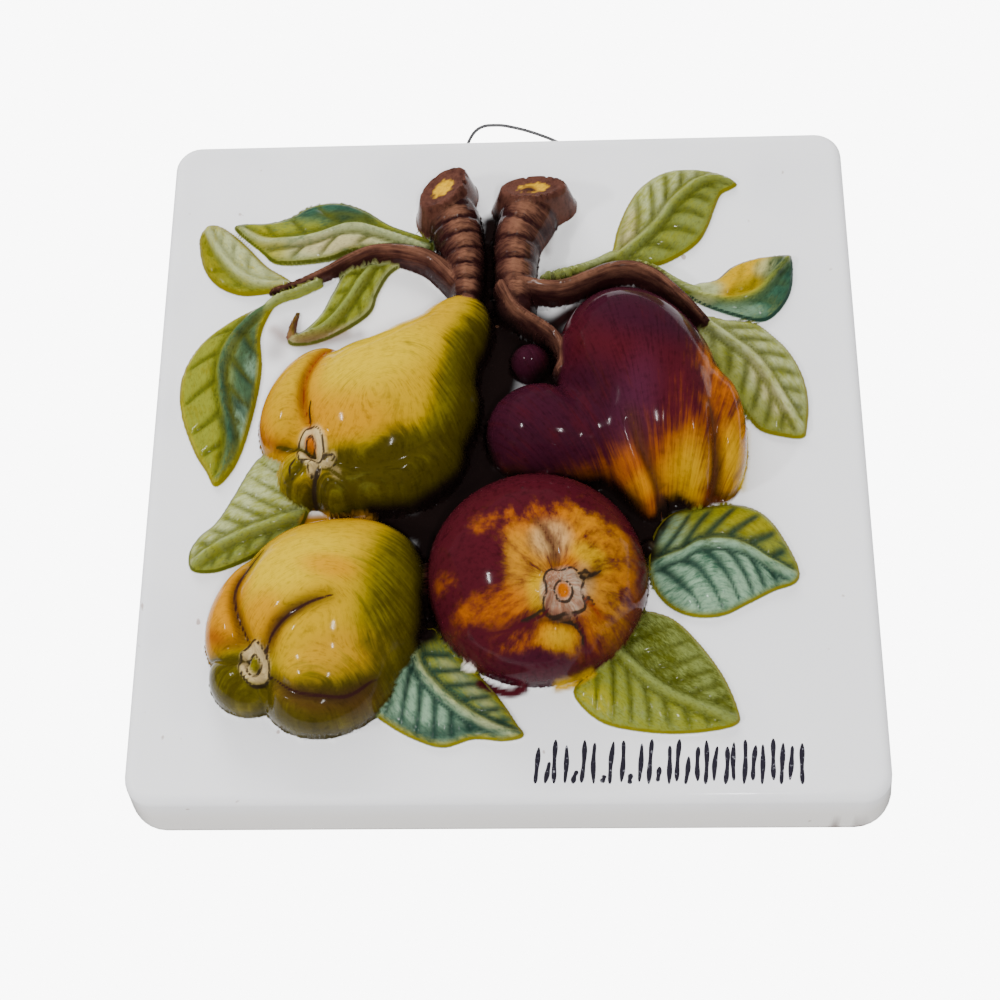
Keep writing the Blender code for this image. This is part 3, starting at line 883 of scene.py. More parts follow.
def fruits() -> list[Fruit]:
    """The quinces and apples, each with its paint.

    Returns:
        The fruits in the order in which they are laid.
    """
    fold = {"line": 0.4, "colour": Glaze.BARK_DARK}
    # olive paints for the quinces' lower parts and their sides by the gaps, where they are also painted shade
    shade = {"under": Glaze.OLIVE, "over": Glaze.DARK_OLIVE}
    wine = {"under": Glaze.MAROON, "over": Glaze.PLUM}
    bloom = {"under": Glaze.CREAM, "over": Glaze.CREAM, "share": 0}
    return [
        Fruit(
            lobes=[
                Lobe((-33, 8), (27, 23.5), 20, 25.2),
                Lobe((-18, 27), (20, 12), 56, 16.5),
                Lobe((-26, 17), (22, 17), 52, 22.2),
                Lobe((-55.5, 11.5), (19, 11.5), 62, 16.8),
                Lobe((-31, -6), (21, 15), 8, 19.8),
                Lobe((-54, -10), (9, 9), -40, 13.2),
                Lobe((-45, -12.5), (8, 9), 0, 15),
            ],
            eye=(-51.5, -6.5),
            under=Glaze.YELLOW,
            over=Glaze.DARK_OLIVE,
            creases=[
                Crease([(-52, -1), (-54, 5), (-54.5, 10), (-53.5, 16), (-50, 24), (-44, 31)], 1.5, 2.5,
                       0.2, Glaze.RUST),
                Crease([(-48, -9), (-40, -11.8), (-30, -12), (-18, -5)], 1.8, 2.0, 0.4, Glaze.DARK_OLIVE),
                Crease([(-51, -8), (-57, -4.5), (-63, -3.2)], 1.2, 2.0, 0.5, Glaze.DARK_OLIVE),
                Crease([(-50, -11), (-51.5, -16), (-52, -20)], 1.2, 1.5, 0.6, Glaze.SOOT),
                Crease([(-48, -11), (-42, -16), (-39, -20)], 1.5, 1.5, 0.5, Glaze.DARK_OLIVE),
                Crease([(-54, -10), (-57, -13), (-60, -14)], 1.2, 1.2, 0.5, Glaze.DARK_OLIVE),
            ],
            details=[
                Ring((-51.8, -6), (3.4, 4.6), 20, 0.35, 1.6, 5),
                Knob((-52.3, -5.2), (1.8, 2.4), 10, 1.0),
                Knob((-47, -9.6), (1.5, 1.0), 30, 1.0),
                Knob((-51, -12.2), (1.2, 1.0), 0, 0.8),
            ],
            daubs=[
                Daub((-36, 18), (17, 10), 20, under=Glaze.PALE_YELLOW, amount=0.8),
                Daub((-43, -1), (17, 7), -18, under=Glaze.AMBER, amount=0.6, soft=0.7),
                Sweep([(-49, 26), (-51.5, 16), (-51, 6), (-47, -2)], 3.0, Glaze.AMBER, 0.55),
                Sweep([(-57, 26), (-65, 16), (-67.5, 6), (-64, -2), (-57, -4)], 3.2, Glaze.AMBER, 0.85),
                Sweep([(-63, 21), (-68.5, 8), (-67, 0), (-61, -4)], 1.4, Glaze.RUST, 0.8),
                Sweep([(-50, 31), (-40, 34.5), (-29, 36), (-20, 40)], 1.8, Glaze.AMBER, 0.6),
                # olive paint on the lower part and on the side by the gap, which is also painted shade there
                Daub((-24, -14), (34, 10.5), 12, **shade, share=0.74, soft=0.4),
                Daub((-9, 12), (8, 32), -12, under=Glaze.OLIVE, share=0.7, amount=0.95),
                Daub((-50, -15), (14, 8), 0, under=Glaze.OLIVE, share=0.62),
                Daub((-52, -14), (8, 3), 0, under=Glaze.YELLOW, amount=0.5),
                # painted shade: darker olive and soot down the side by the gap and along the lower edge
                Sweep([(-6, 33), (-8, 20), (-9.5, 6), (-15, -9), (-27, -19)], 3.4, Glaze.DARK_OLIVE, 0.9),
                Sweep([(-12, 30), (-14, 16), (-16, 4), (-24, -8)], 2.2, Glaze.OLIVE, 0.5),
                Sweep([(-45, -20), (-34, -21), (-24, -18)], 2.4, Glaze.DARK_OLIVE, 0.7),
                Daub((-36, -15.5), (10, 2.2), 6, under=Glaze.SAGE, amount=0.4),
                Sweep([(-54, -19), (-40, -24), (-26, -23), (-15, -14)], 2.0, Glaze.SOOT, 0.5),
                Daub((-51.8, -5.6), (4.2, 5.6), 20, **bloom, soft=0.2),
                Daub((-47, -9.6), (2.2, 1.5), 30, **bloom, soft=0.3),
                Daub((-51, -12.2), (1.7, 1.4), 0, **bloom, soft=0.3),
                Daub((-45, -13), (1.4, 2.4), 30, under=Glaze.CREAM, share=0.2, soft=0.4, amount=0.8),
                Daub((-52.3, -5.2), (1.7, 2.8), 10, under=Glaze.ORANGE, over=Glaze.ORANGE, soft=0.3),
            ],
            lines=[
                Line([(-55.4, -2.6), (-53, -0.6), (-50.4, -1.2), (-48.6, -3.8), (-48.4, -7.6), (-50, -10),
                      (-52.6, -9), (-54.8, -9.4), (-56, -6)], 0.34, closed=True),
                Line([(-53.6, -5), (-52.3, -2.6), (-50.9, -5), (-51.7, -7.8), (-53, -7.2)], 0.32,
                     closed=True),
                Line([(-50, -10), (-47.6, -8), (-45.2, -9), (-45.4, -11), (-47.6, -11.4)], 0.3),
                Line([(-53, -10), (-52, -13.4), (-50, -13.6), (-49.4, -11.6)], 0.3),
                Line([(-56, -8), (-58, -11), (-57, -14)], 0.35),
                Line([(-52, 0), (-52.6, 4), (-51.8, 7)], 0.35),
            ],
            blend=5,
            share=0.14,
            contour=0.9,
        ),
        Fruit(
            lobes=[
                Lobe((-47, -49.5), (26, 26), 0, 25.8),
                Lobe((-68, -49.5), (17.5, 11), 66, 15),
                Lobe((-68, -67.5), (10.5, 9.5), -20, 14.4),
                Lobe((-46, -67), (19, 15.3), 22, 21),
                Lobe((-39, -41), (18.5, 17.5), 0, 21),
                Lobe((-42, -36.5), (20, 14), 0, 17),
            ],
            eye=(-63.8, -66),
            under=Glaze.YELLOW,
            over=Glaze.OLIVE,
            creases=[
                Crease([(-65.5, -61), (-69, -54), (-70.5, -47.5), (-69, -42), (-63, -35)], 1.7, 2.8, **fold),
                Crease([(-61, -65), (-59.3, -60), (-55, -56), (-49, -53), (-42, -51)], 2.2, 2.6, **fold),
                Crease([(-60, -69), (-53.7, -73.6), (-46.9, -75.2), (-39.4, -75), (-32.2, -70)], 1.7, 2.4,
                       **fold),
                Crease([(-66, -65.5), (-72, -64.4), (-78, -62.5)], 1.3, 2.4, 0.5, Glaze.DARK_OLIVE),
                Crease([(-61, -70.5), (-60.5, -75), (-60.3, -79)], 1.5, 2.4, 0.5, Glaze.DARK_OLIVE),
            ],
            details=[
                Ring((-64, -66), (3.6, 5.0), 15, 0.28, 1.8),
                Knob((-64.2, -66.4), (1.8, 2.2), 0, 0.9),
            ],
            daubs=[
                Daub((-54, -41), (15, 8), 20, under=Glaze.PALE_YELLOW, amount=0.8),
                Daub((-74, -51), (7, 16), -10, under=Glaze.AMBER, amount=0.9),
                Sweep([(-78, -56), (-73, -60), (-67, -60)], 2.4, Glaze.RUST, 0.75),
                Sweep([(-66, -33), (-55, -26.5), (-44, -24.5), (-33, -25.5)], 2.2, Glaze.AMBER, 0.7),
                Daub((-44, -43), (7, 3.2), -10, under=Glaze.AMBER, amount=0.65, soft=0.6),
                Daub((-62, -56), (6, 7), 0, under=Glaze.AMBER, amount=0.6),
                # olive paint towards the bottom and on the side by the gap, which is also painted shade there
                Daub((-26, -50), (10, 27), -8, **shade, share=0.6, amount=0.95),
                Daub((-44, -78), (25, 9), 10, **shade, share=0.68),
                Daub((-70, -70), (12, 9), 0, **shade, share=0.62),
                # painted shade along the folds
                Sweep([(-60, -72), (-50, -77), (-40, -77.5), (-31, -72)], 2.6, Glaze.BROWN, 0.7),
                Sweep([(-58, -63), (-57, -57), (-50, -53.5)], 1.8, Glaze.BROWN, 0.55),
                Daub((-42, -66), (11, 6), 20, under=Glaze.OCHRE, share=0.3, amount=0.5),
                # painted shade: darker olive down the side by the gap, along the bottom and round the lower
                # left
                Sweep([(-27, -29), (-22.5, -38), (-21.5, -50), (-25, -62), (-33, -72)], 3.0,
                      Glaze.DARK_OLIVE, 0.9),
                Sweep([(-30, -33), (-26, -44), (-27, -56), (-33, -66)], 2.0, Glaze.DARK_OLIVE, 0.45),
                Sweep([(-58, -79), (-48, -80.5), (-38, -78)], 2.0, Glaze.DARK_OLIVE, 0.7),
                Sweep([(-77, -66), (-75, -73), (-68, -76)], 1.8, Glaze.DARK_OLIVE, 0.7),
                Daub((-64, -66), (3.8, 5.2), 15, **bloom, soft=0.15),
                Daub((-64.2, -66.2), (1.4, 2.5), 10, under=Glaze.OLIVE, over=Glaze.OLIVE, soft=0.3),
            ],
            lines=[
                Line([(-67.2, -62.6), (-63.8, -60.6), (-60.4, -65), (-60.8, -70), (-64.2, -71.8),
                      (-67.4, -68)], 0.36, closed=True),
                Line([(-66, -66.4), (-64.4, -63.4), (-62.6, -66), (-63.6, -69.2), (-65.2, -68.8)], 0.32,
                     closed=True),
            ],
            share=0.14,
            contour=0.9,
        ),
        Fruit(
            lobes=[
                Lobe((38, 14), (23, 32.5), 18, 27),
                Lobe((33, -6), (20, 7), -60, 18),
                Lobe((50, 1), (21, 10), -82, 24.6),
                Lobe((60, 1), (18, 7), -88, 18),
                Lobe((10.5, 1.5), (16, 14.5), 0, 20.1),
                Lobe((25, 0), (22, 13), 10, 19.2),
                Lobe((7.5, 24), (6.2, 5.6), 0, 9),
            ],
            eye=(45, -40),
            under=Glaze.ORANGE,
            over=Glaze.MAROON,
            creases=[
                Crease([(43, -24), (41.5, -17), (37, -8), (34, 0)], 1.8, 4.5, 0.2),
                Crease([(56, -20), (57, -12), (56.5, -4), (55, 4)], 1.3, 3.8, 0.35),
                Crease([(17, 20), (20, 12), (24, 4), (25, -6)], 4.5, 2.5),
            ],
            details=[Knob((50, 2), (2.2, 11), 8, 0.8)],
            daubs=[
                Daub((48, 8), (26, 16), -60, under=Glaze.RUST, share=0.68, amount=0.9, soft=0.7),
                Daub((60, 10), (7, 20), 15, under=Glaze.ORANGE, share=0.5, amount=0.85, soft=0.7),
                Daub((53, 4), (10, 15), -10, under=Glaze.ORANGE, share=0.5, amount=0.85, soft=0.8),
                Daub((23, 19), (27, 24), 25, under=Glaze.MAROON, over=Glaze.MAROON, share=1.0, soft=0.35),
                Daub((12, 2), (22, 16), 0, **wine, share=0.7, soft=0.3),
                Daub((8, 23), (9, 8), 0, **wine, share=0.7),
                Daub((40, 34), (20, 14), -20, **wine, share=0.8, soft=0.4),
                # painted reflection: a lilac sheen across the apple's middle
                Daub((36, 1), (5, 12), -10, over=Glaze.PURPLE, under=Glaze.PURPLE, amount=0.45, soft=0.8),
                Daub((42, 9), (14, 9), -35, under=Glaze.RUST, share=0.9, amount=0.6, soft=0.8),
                Daub((37, -18), (3, 8), -60, under=Glaze.AMBER, share=0.2, amount=0.8, soft=0.7),
                Daub((50, -15), (6, 7), 0, under=Glaze.YELLOW, share=0.22, amount=0.75, soft=0.9),
                Daub((62, -11), (4, 9), 0, under=Glaze.YELLOW, share=0.22, amount=0.75, soft=0.9),
                # painted shade: black in the dent at the first finger's tip, and soot down the fold by the
                # last finger
                Daub((43.5, -21), (2.4, 3), 0, under=Glaze.BLACK, over=Glaze.BLACK, share=0.5, soft=0.3),
                Sweep([(57, -17), (57, -12), (56.4, -8)], 1.3, Glaze.SOOT, 0.8),
                Sweep([(54, -20), (56.5, -17), (60, -18.5)], 0.9, Glaze.RUST, 0.9),
                Sweep([(26, -13), (33, -19), (38, -24)], 2.0, Glaze.MAROON, 0.7),
            ],
            blend=7,
            share=0.38,
            around=30,
            outward=0.05,
        ),
        Fruit(
            lobes=[Lobe((8.7, -40.3), (30, 29.2), 0, 30)],
            eye=(14, -49),
            under=Glaze.ORANGE,
            over=Glaze.MAROON,
            creases=[
                Crease([(14.6, -46), (14.2, -42), (12, -37), (8.5, -32)], 1.3, 1.5, 0.28),
                Crease([(20, -47.5), (23, -46.8), (26, -45)], 1.3, 1.5, 0.3, Glaze.SOOT),
                Crease([(21, -52.5), (24, -54.5), (26, -57)], 1.3, 1.3, 0.25, Glaze.RUST),
                Crease([(18.5, -56), (21, -60), (21.8, -66)], 1.5, 1.7, 0.35, Glaze.MAROON),
                Crease([(12.5, -55.5), (7, -58.2), (-1, -60), (-9, -59)], 1.9, 1.9, 0.35, Glaze.MAROON),
                Crease([(11.5, -50), (8, -47), (4, -45)], 1.6, 1.2),
                Crease([(11, -57), (15.5, -58), (20, -58.6)], 1.0, 1.2, 0.3, Glaze.SOOT),
            ],
            details=[
                Ring((16, -51.6), (4.6, 4.6), 0, 0.26, 2.0, 5),
                Ring((16, -51.6), (1.9, 2.1), 0, 0.35, 0.9),
                Knob((15, -61.6), (4.0, 2.8), 0, 1.5),
                Knob((21, -43), (3.0, 3.4), 0, 0.8),
                Knob((9, -51), (2.2, 3.4), 0, 0.7),
            ],
            daubs=[
                Daub((-5, -32), (4, 4), 0, under=Glaze.RUST, share=0.2, amount=0.8),
                Daub((13, -47), (19, 17), 0, under=Glaze.ORANGE, share=0.42, soft=0.7),
                Daub((26, -38), (10, 12), 30, under=Glaze.AMBER, share=0.38, amount=0.8),
                Daub((6, -45), (8, 10), 15, under=Glaze.OCHRE, share=0.36, amount=0.8),
                Daub((13, -38), (5, 5), 0, under=Glaze.CREAM, share=0.35, amount=0.5),
                Daub((23, -42), (5, 3), -20, under=Glaze.YELLOW, share=0.3, amount=0.7),
                Daub((9.5, -52), (2.6, 5), 0, under=Glaze.YELLOW, share=0.2, amount=0.8),
                Daub((15, -61.6), (5, 3.2), 0, under=Glaze.YELLOW, share=0.22, amount=0.75, soft=0.9),
                Daub((21, -50), (3, 5), 0, under=Glaze.CREAM, share=0.3, amount=0.5),
                Daub((28, -55), (6, 8), 30, under=Glaze.OCHRE, share=0.45, amount=0.7),
                Daub((-12, -40), (12, 26), 10, under=Glaze.MAROON, over=Glaze.MAROON, share=0.9, soft=0.4),
                Daub((-5, -32), (4, 3.5), 0, under=Glaze.ORANGE, share=0.4, amount=0.75),
                Daub((-14, -46), (4, 4), 0, under=Glaze.ORANGE, share=0.5, amount=0.6),
                Daub((-4, -55), (10, 5), 10, under=Glaze.ORANGE, share=0.45, amount=0.85),
                Daub((8, -16), (26, 10), 0, under=Glaze.MAROON, share=1.0),
                Daub((30, -24), (9, 6), -40, under=Glaze.MAROON, share=1.0, amount=0.9),
                Daub((8, -69), (17, 4.5), 0, **wine, share=0.9, soft=0.3),
                Daub((9, -66.5), (7, 2.2), 0, under=Glaze.PURPLE, over=Glaze.PLUM, share=0.5, amount=0.7,
                     soft=0.3),
                Sweep([(22, -68), (31, -62), (36, -53), (37, -42), (34, -29), (26, -18)], 3.6,
                      Glaze.MAROON, 0.95),
                Sweep([(-15, -57), (-6, -65), (8, -68.5), (21, -67), (31, -61)], 3.4, Glaze.MAROON, 0.9),
                Daub((16, -51.6), (5.4, 5.6), 0, under=Glaze.CLAY, over=Glaze.BARK_LIGHT, share=0.62,
                     soft=0.2),
                Daub((16, -51.4), (1.8, 2.0), 0, under=Glaze.ORANGE, over=Glaze.RUST, share=0.2, soft=0.3),
            ],
            lines=[
                Line([(11.2, -48.4), (13.4, -46.2), (16, -46.8), (18.6, -45.8), (21, -48.2), (20.6, -51.6),
                      (21.4, -54.8), (17, -56.6), (13, -57), (10.8, -55), (11.8, -51.6)], 0.34, closed=True),
                Line([(13.8, -51.6), (14.6, -49.6), (16.8, -49.2), (18.3, -51.2), (17.4, -53.6),
                      (15, -53.9)], 0.32, closed=True),
                Line([(20.4, -47), (21.6, -45.8), (23, -46.6), (24.4, -45.6)], 0.4),
                Line([(21.2, -53.6), (22.4, -52.2), (24, -53.4)], 0.35),
                Line([(17, -57), (18.6, -58.6), (20.6, -60.6), (20.4, -63)], 0.35),
                Line([(10.6, -55.4), (8, -57), (5, -58)], 0.35),
            ],
            share=0.62,
            around=6,
            outward=0.2,
        ),
    ]


def leaves() -> list[Leaf]:
    """The eleven leaves, each with its paint.

    Returns:
        The leaves in the order in which they are laid.
    """
    return [
        Leaf(
            outline=[
                (-80.3, 71), (-70, 72.2), (-64, 74), (-58, 77.8), (-50, 78.8), (-42, 76), (-34, 70.5),
                (-22, 65), (-24, 60), (-42, 62), (-52, 58.8), (-66, 58), (-72, 62.5),
            ],
            midrib=[(-24, 62.5), (-38, 67.8), (-46, 68.8), (-55, 65.7), (-63, 64.3), (-71, 65),
                    (-79.5, 70.3)],
            veins=5,
            tilt=0.1,
            left=Glaze.PALE_GREEN,
            over=Glaze.TEAL,
            rim=Glaze.LIME,
            outline_colour=Glaze.LEAF_OLIVE,
            daubs=[
                Daub((-50, 75), (14, 5), 0, under=Glaze.TEAL, over=Glaze.DEEP_TEAL, share=0.45),
                Sweep([(-36, 70.5), (-46, 73), (-56, 73)], 1.4, Glaze.LEAF_OLIVE, 0.7),
                Daub((-70, 63), (7, 5), -30, under=Glaze.YELLOW_GREEN, amount=0.8),
                Daub((-50, 63), (12, 3), 5, under=Glaze.CREAM, amount=0.5),
                Daub((-80, 71), (3, 3), 0, under=Glaze.DEEP_TEAL),
            ],
        ),
        Leaf(
            outline=[
                (-88.5, 71.3), (-86, 71.7), (-82, 69.5), (-76, 64), (-70, 57.5), (-64, 53.5), (-62, 51),
                (-66, 49.2), (-75, 48), (-80.5, 49.3), (-85, 52.2), (-88.3, 57), (-90, 63), (-90.3, 68),
            ],
            midrib=[(-62, 51), (-72, 51), (-78, 54.2), (-83, 60), (-86.5, 66), (-88.5, 71)],
            veins=4,
            right=Glaze.PALE_GREEN,
            over=Glaze.YELLOW_GREEN,
            rim=Glaze.OLIVE,
            vein_amount=0.5,
            daubs=[Sweep([(-88, 68), (-88, 60), (-82, 52)], 2.6, Glaze.OLIVE, 0.7)],
        ),
        Leaf(
            outline=[
                (-64, 48.3), (-70, 45), (-80, 39.3), (-88, 32), (-92.3, 22), (-91.8, 11), (-87.5, -0.5),
                (-83.5, -7), (-80.5, -11.5), (-76, -6.5), (-73, 2), (-70.5, 15), (-69.7, 25), (-70.5, 35),
                (-67.5, 43.5),
            ],
            midrib=[
                (-64, 48), (-72, 41.5), (-78, 33), (-80.6, 24), (-79.5, 14), (-76.8, 3), (-78, -6.5),
                (-80.4, -11),
            ],
            veins=6,
            left=Glaze.SAGE,
            over=Glaze.OLIVE,
            rib_colour=Glaze.TEAL,
            rim=Glaze.YELLOW_GREEN,
            daubs=[
                Daub((-73, 20), (4.5, 24), 0, under=Glaze.TEAL, over=Glaze.DEEP_TEAL, share=0.45,
                     amount=0.85),
                Daub((-72, 24), (2.0, 4), 0, under=Glaze.PALE_TEAL, amount=0.6),
                Daub((-74, 8), (2.0, 6), 10, under=Glaze.PALE_TEAL, amount=0.8),
                Sweep([(-80, 28), (-79.5, 16), (-77, 4), (-79, -6)], 1.0, Glaze.DEEP_TEAL, 0.8),
                Sweep([(-77, 36), (-73.5, 31), (-70.5, 28)], 1.2, Glaze.DEEP_TEAL, 0.85),
                Sweep([(-78.5, 27), (-74.5, 21.5), (-71, 18)], 1.3, Glaze.DEEP_TEAL, 0.85),
                Sweep([(-79.5, 18), (-76, 12.5), (-72.5, 9)], 1.3, Glaze.DEEP_TEAL, 0.85),
                Sweep([(-80, 9), (-77.5, 4), (-75, 1)], 1.2, Glaze.DEEP_TEAL, 0.8),
            ],
        ),
        Leaf(
            outline=[
                (-30, 58), (-34, 53.5), (-37, 47.5), (-39, 41.5), (-46, 36), (-54, 32.3), (-61, 31.6),
                (-62.3, 34), (-57.5, 36.8), (-53, 42), (-50, 48.5), (-45, 56),
            ],
            midrib=[(-38, 58), (-42, 50), (-46, 43), (-52, 36.5), (-61.5, 32.8)],
            veins=4,
            rib_colour=Glaze.SAGE,
            rim=Glaze.PALE_GREEN,
            outline_colour=Glaze.LEAF_OLIVE,
        ),
        Leaf(
            outline=[
                (-64, -1.5), (-68.5, -3), (-71.5, -7), (-75, -14), (-79.5, -22), (-84, -26.3), (-86.5, -31),
                (-85.5, -36), (-80, -36.8), (-74, -35), (-66, -31), (-56, -24), (-54, -14), (-58, -5),
            ],
            midrib=[(-55, -20), (-62, -23), (-70, -26), (-78, -30), (-85.5, -35)],
            veins=5,
            left=Glaze.SAGE,
            right=Glaze.PALE_GREEN,
            over=Glaze.LIME,
            share=0.45,
            rib_colour=Glaze.SAGE,
            rim=Glaze.LIME,
            outline_colour=Glaze.LEAF_OLIVE,
        ),
        Leaf(
            outline=[
                (-20, -53), (-13, -60), (-6, -67), (-1, -73), (3, -79), (5, -82.5), (0, -83.8), (-8, -83.3),
                (-16, -85.4), (-24, -83), (-31, -79), (-34, -76), (-33, -70), (-28, -62),
            ],
            midrib=[(-25, -57), (-22, -65), (-17, -71), (-11, -76), (-5, -79.5), (4, -82.8)],
            veins=6,
            right=Glaze.PALE_TEAL,
            over=Glaze.TEAL,
            share=0.4,
            vein_colour=Glaze.DEEP_TEAL,
            vein_half_width=1.15,
            vein_amount=0.95,
            rim=Glaze.YELLOW_GREEN,
            daubs=[
                Sweep([(-31, -77), (-20, -82.5), (-8, -80.5), (2, -81.5)], 2.6, Glaze.DEEP_TEAL, 0.8),
                Sweep([(-17, -62), (-9, -70), (-2, -77)], 1.6, Glaze.PALE_GREEN, 0.6),
            ],
        ),
        Leaf(
            outline=[
                (36, -50), (42, -50), (47, -53), (53, -60), (58, -68), (61, -76.5), (60.5, -79.8),
                (54, -81.5), (44, -82.2), (34, -81.3), (26, -79.3), (20.5, -75), (18.3, -70.5), (22, -66),
                (28, -60),
            ],
            midrib=[(30, -60), (37, -67.2), (43, -71.7), (50, -75), (60.5, -79)],
            veins=5,
            left=Glaze.LEAF_OLIVE,
            share=0.4,
            rib_colour=Glaze.SAGE,
            rim=Glaze.LIME,
            vein_half_width=1.2,
            daubs=[
                Daub((22, -75), (6, 6), -30, under=Glaze.YELLOW_GREEN, amount=0.8),
                Sweep([(44, -56), (50, -64), (55, -73)], 2.2, Glaze.SAGE, 0.6),
            ],
        ),
        Leaf(
            outline=[
                (39, -33), (41.5, -25.5), (46, -21.3), (53, -20.2), (60, -19), (67, -20), (72, -23.5),
                (76, -30), (79, -37.5), (78, -41.5), (72, -43.8), (65, -47.3), (58, -50.5), (50, -50.6),
                (43.5, -47.3), (39.5, -41),
            ],
            midrib=[
                (37, -37), (46.7, -34.5), (52.6, -31.4), (59.5, -31), (65.5, -33), (71.4, -37),
                (78.5, -40.3),
            ],
            veins=6,
            rise=1.3,
            right=Glaze.PALE_TEAL,
            over=Glaze.TEAL,
            share=0.4,
            rib_colour=Glaze.PALE_TEAL,
            vein_colour=Glaze.DEEP_TEAL,
            vein_half_width=1.25,
            vein_amount=0.95,
            rim=Glaze.LIME,
            daubs=[
                Daub((44, -27), (5, 5), 30, under=Glaze.PALE_TEAL, over=Glaze.SAGE),
                Daub((62, -24), (16, 8), -10, over=Glaze.OLIVE, share=0.35),
                Daub((66, -25), (9, 3), -20, under=Glaze.YELLOW_GREEN, amount=0.7),
                Daub((72, -33), (6, 4), -50, under=Glaze.LIME, amount=0.7),
            ],
        ),
        Leaf(
            outline=[
                (57, 38.5), (63, 37.3), (71, 36), (76, 32), (80.5, 26.5), (83.7, 19), (84.7, 11), (83.8, 3.5),
                (82.5, 0.5), (77, 1), (71, 3), (67.5, 7.5), (63, 15), (58, 26), (54, 34),
            ],
            midrib=[(57, 36.5), (63.6, 29.8), (69.6, 24.3), (73.6, 18.4), (77.6, 10.5), (83, 1.5)],
            veins=6,
            left=Glaze.PALE_GREEN,
            right=Glaze.PALE_GREEN,
            over=Glaze.LIME,
            share=0.4,
            rim=Glaze.LIME,
            vein_half_width=1.5,
            daubs=[
                Sweep([(60, 30), (63, 20), (68, 11), (74, 4), (81, 3)], 3.0, Glaze.LIME, 0.75),
                Daub((74, 14), (3, 12), 25, under=Glaze.CREAM, amount=0.4),
            ],
        ),
        Leaf(
            outline=[
                (51, 47.5), (56, 49.2), (61, 50.3), (66, 54.5), (73, 57), (81, 57.8), (82.8, 57),
                (82.8, 50.5), (81.3, 44.5), (77.5, 39), (73, 36.6), (66, 38.3), (58, 41.5), (53, 44.5),
            ],
            midrib=[(52, 46), (60, 43.5), (66, 42.5), (72, 44.5), (77, 50), (82.5, 57.2)],
            veins=4,
            left=Glaze.YELLOW,
            right=Glaze.TEAL,
            share=0.2,
            rib_colour=Glaze.LIME,
            vein_amount=0.3,
            outline_colour=Glaze.DEEP_TEAL,
            daubs=[
                Daub((57, 46), (5, 4), 0, under=Glaze.PALE_GREEN),
                Daub((71, 47), (8, 2.5), 30, under=Glaze.OLIVE, amount=0.6),
                Daub((79, 50), (4.5, 9), -10, under=Glaze.TEAL, over=Glaze.DEEP_TEAL, share=0.4),
                Daub((75, 53), (4, 2.5), 40, under=Glaze.PALE_GREEN, amount=0.6),
                Daub((66, 39.5), (8, 2), -5, under=Glaze.PALE_TEAL, amount=0.6),
            ],
        ),
        Leaf(
            outline=[
                (30, 57), (31.5, 61), (33, 67.5), (36, 75), (40, 81.3), (46, 85.8), (52, 87.2), (59, 86.7),
                (65, 84.8), (68.3, 82), (66.5, 80.3), (63.5, 78.5), (61.5, 74), (59.5, 68.5), (56.5, 63),
                (51.5, 58.8), (45, 55.5), (38, 55),
            ],
            midrib=[(30, 56), (38.5, 61.7), (44.5, 67.5), (49.3, 74.4), (55.3, 80.3), (61, 83.4), (68, 82)],
            veins=6,
            left=Glaze.PALE_GREEN,
            right=Glaze.SAGE,
            over=Glaze.LIME,
            share=0.45,
            rim=Glaze.LIME,
            rib_colour=Glaze.SAGE,
            vein_half_width=1.4,
            daubs=[
                Sweep([(40, 60.5), (48, 68), (54, 76), (62, 81)], 2.4, Glaze.LEAF_OLIVE, 0.55),
                Daub((36, 66), (3, 7), -20, under=Glaze.CREAM, amount=0.5),
            ],
        ),
    ]


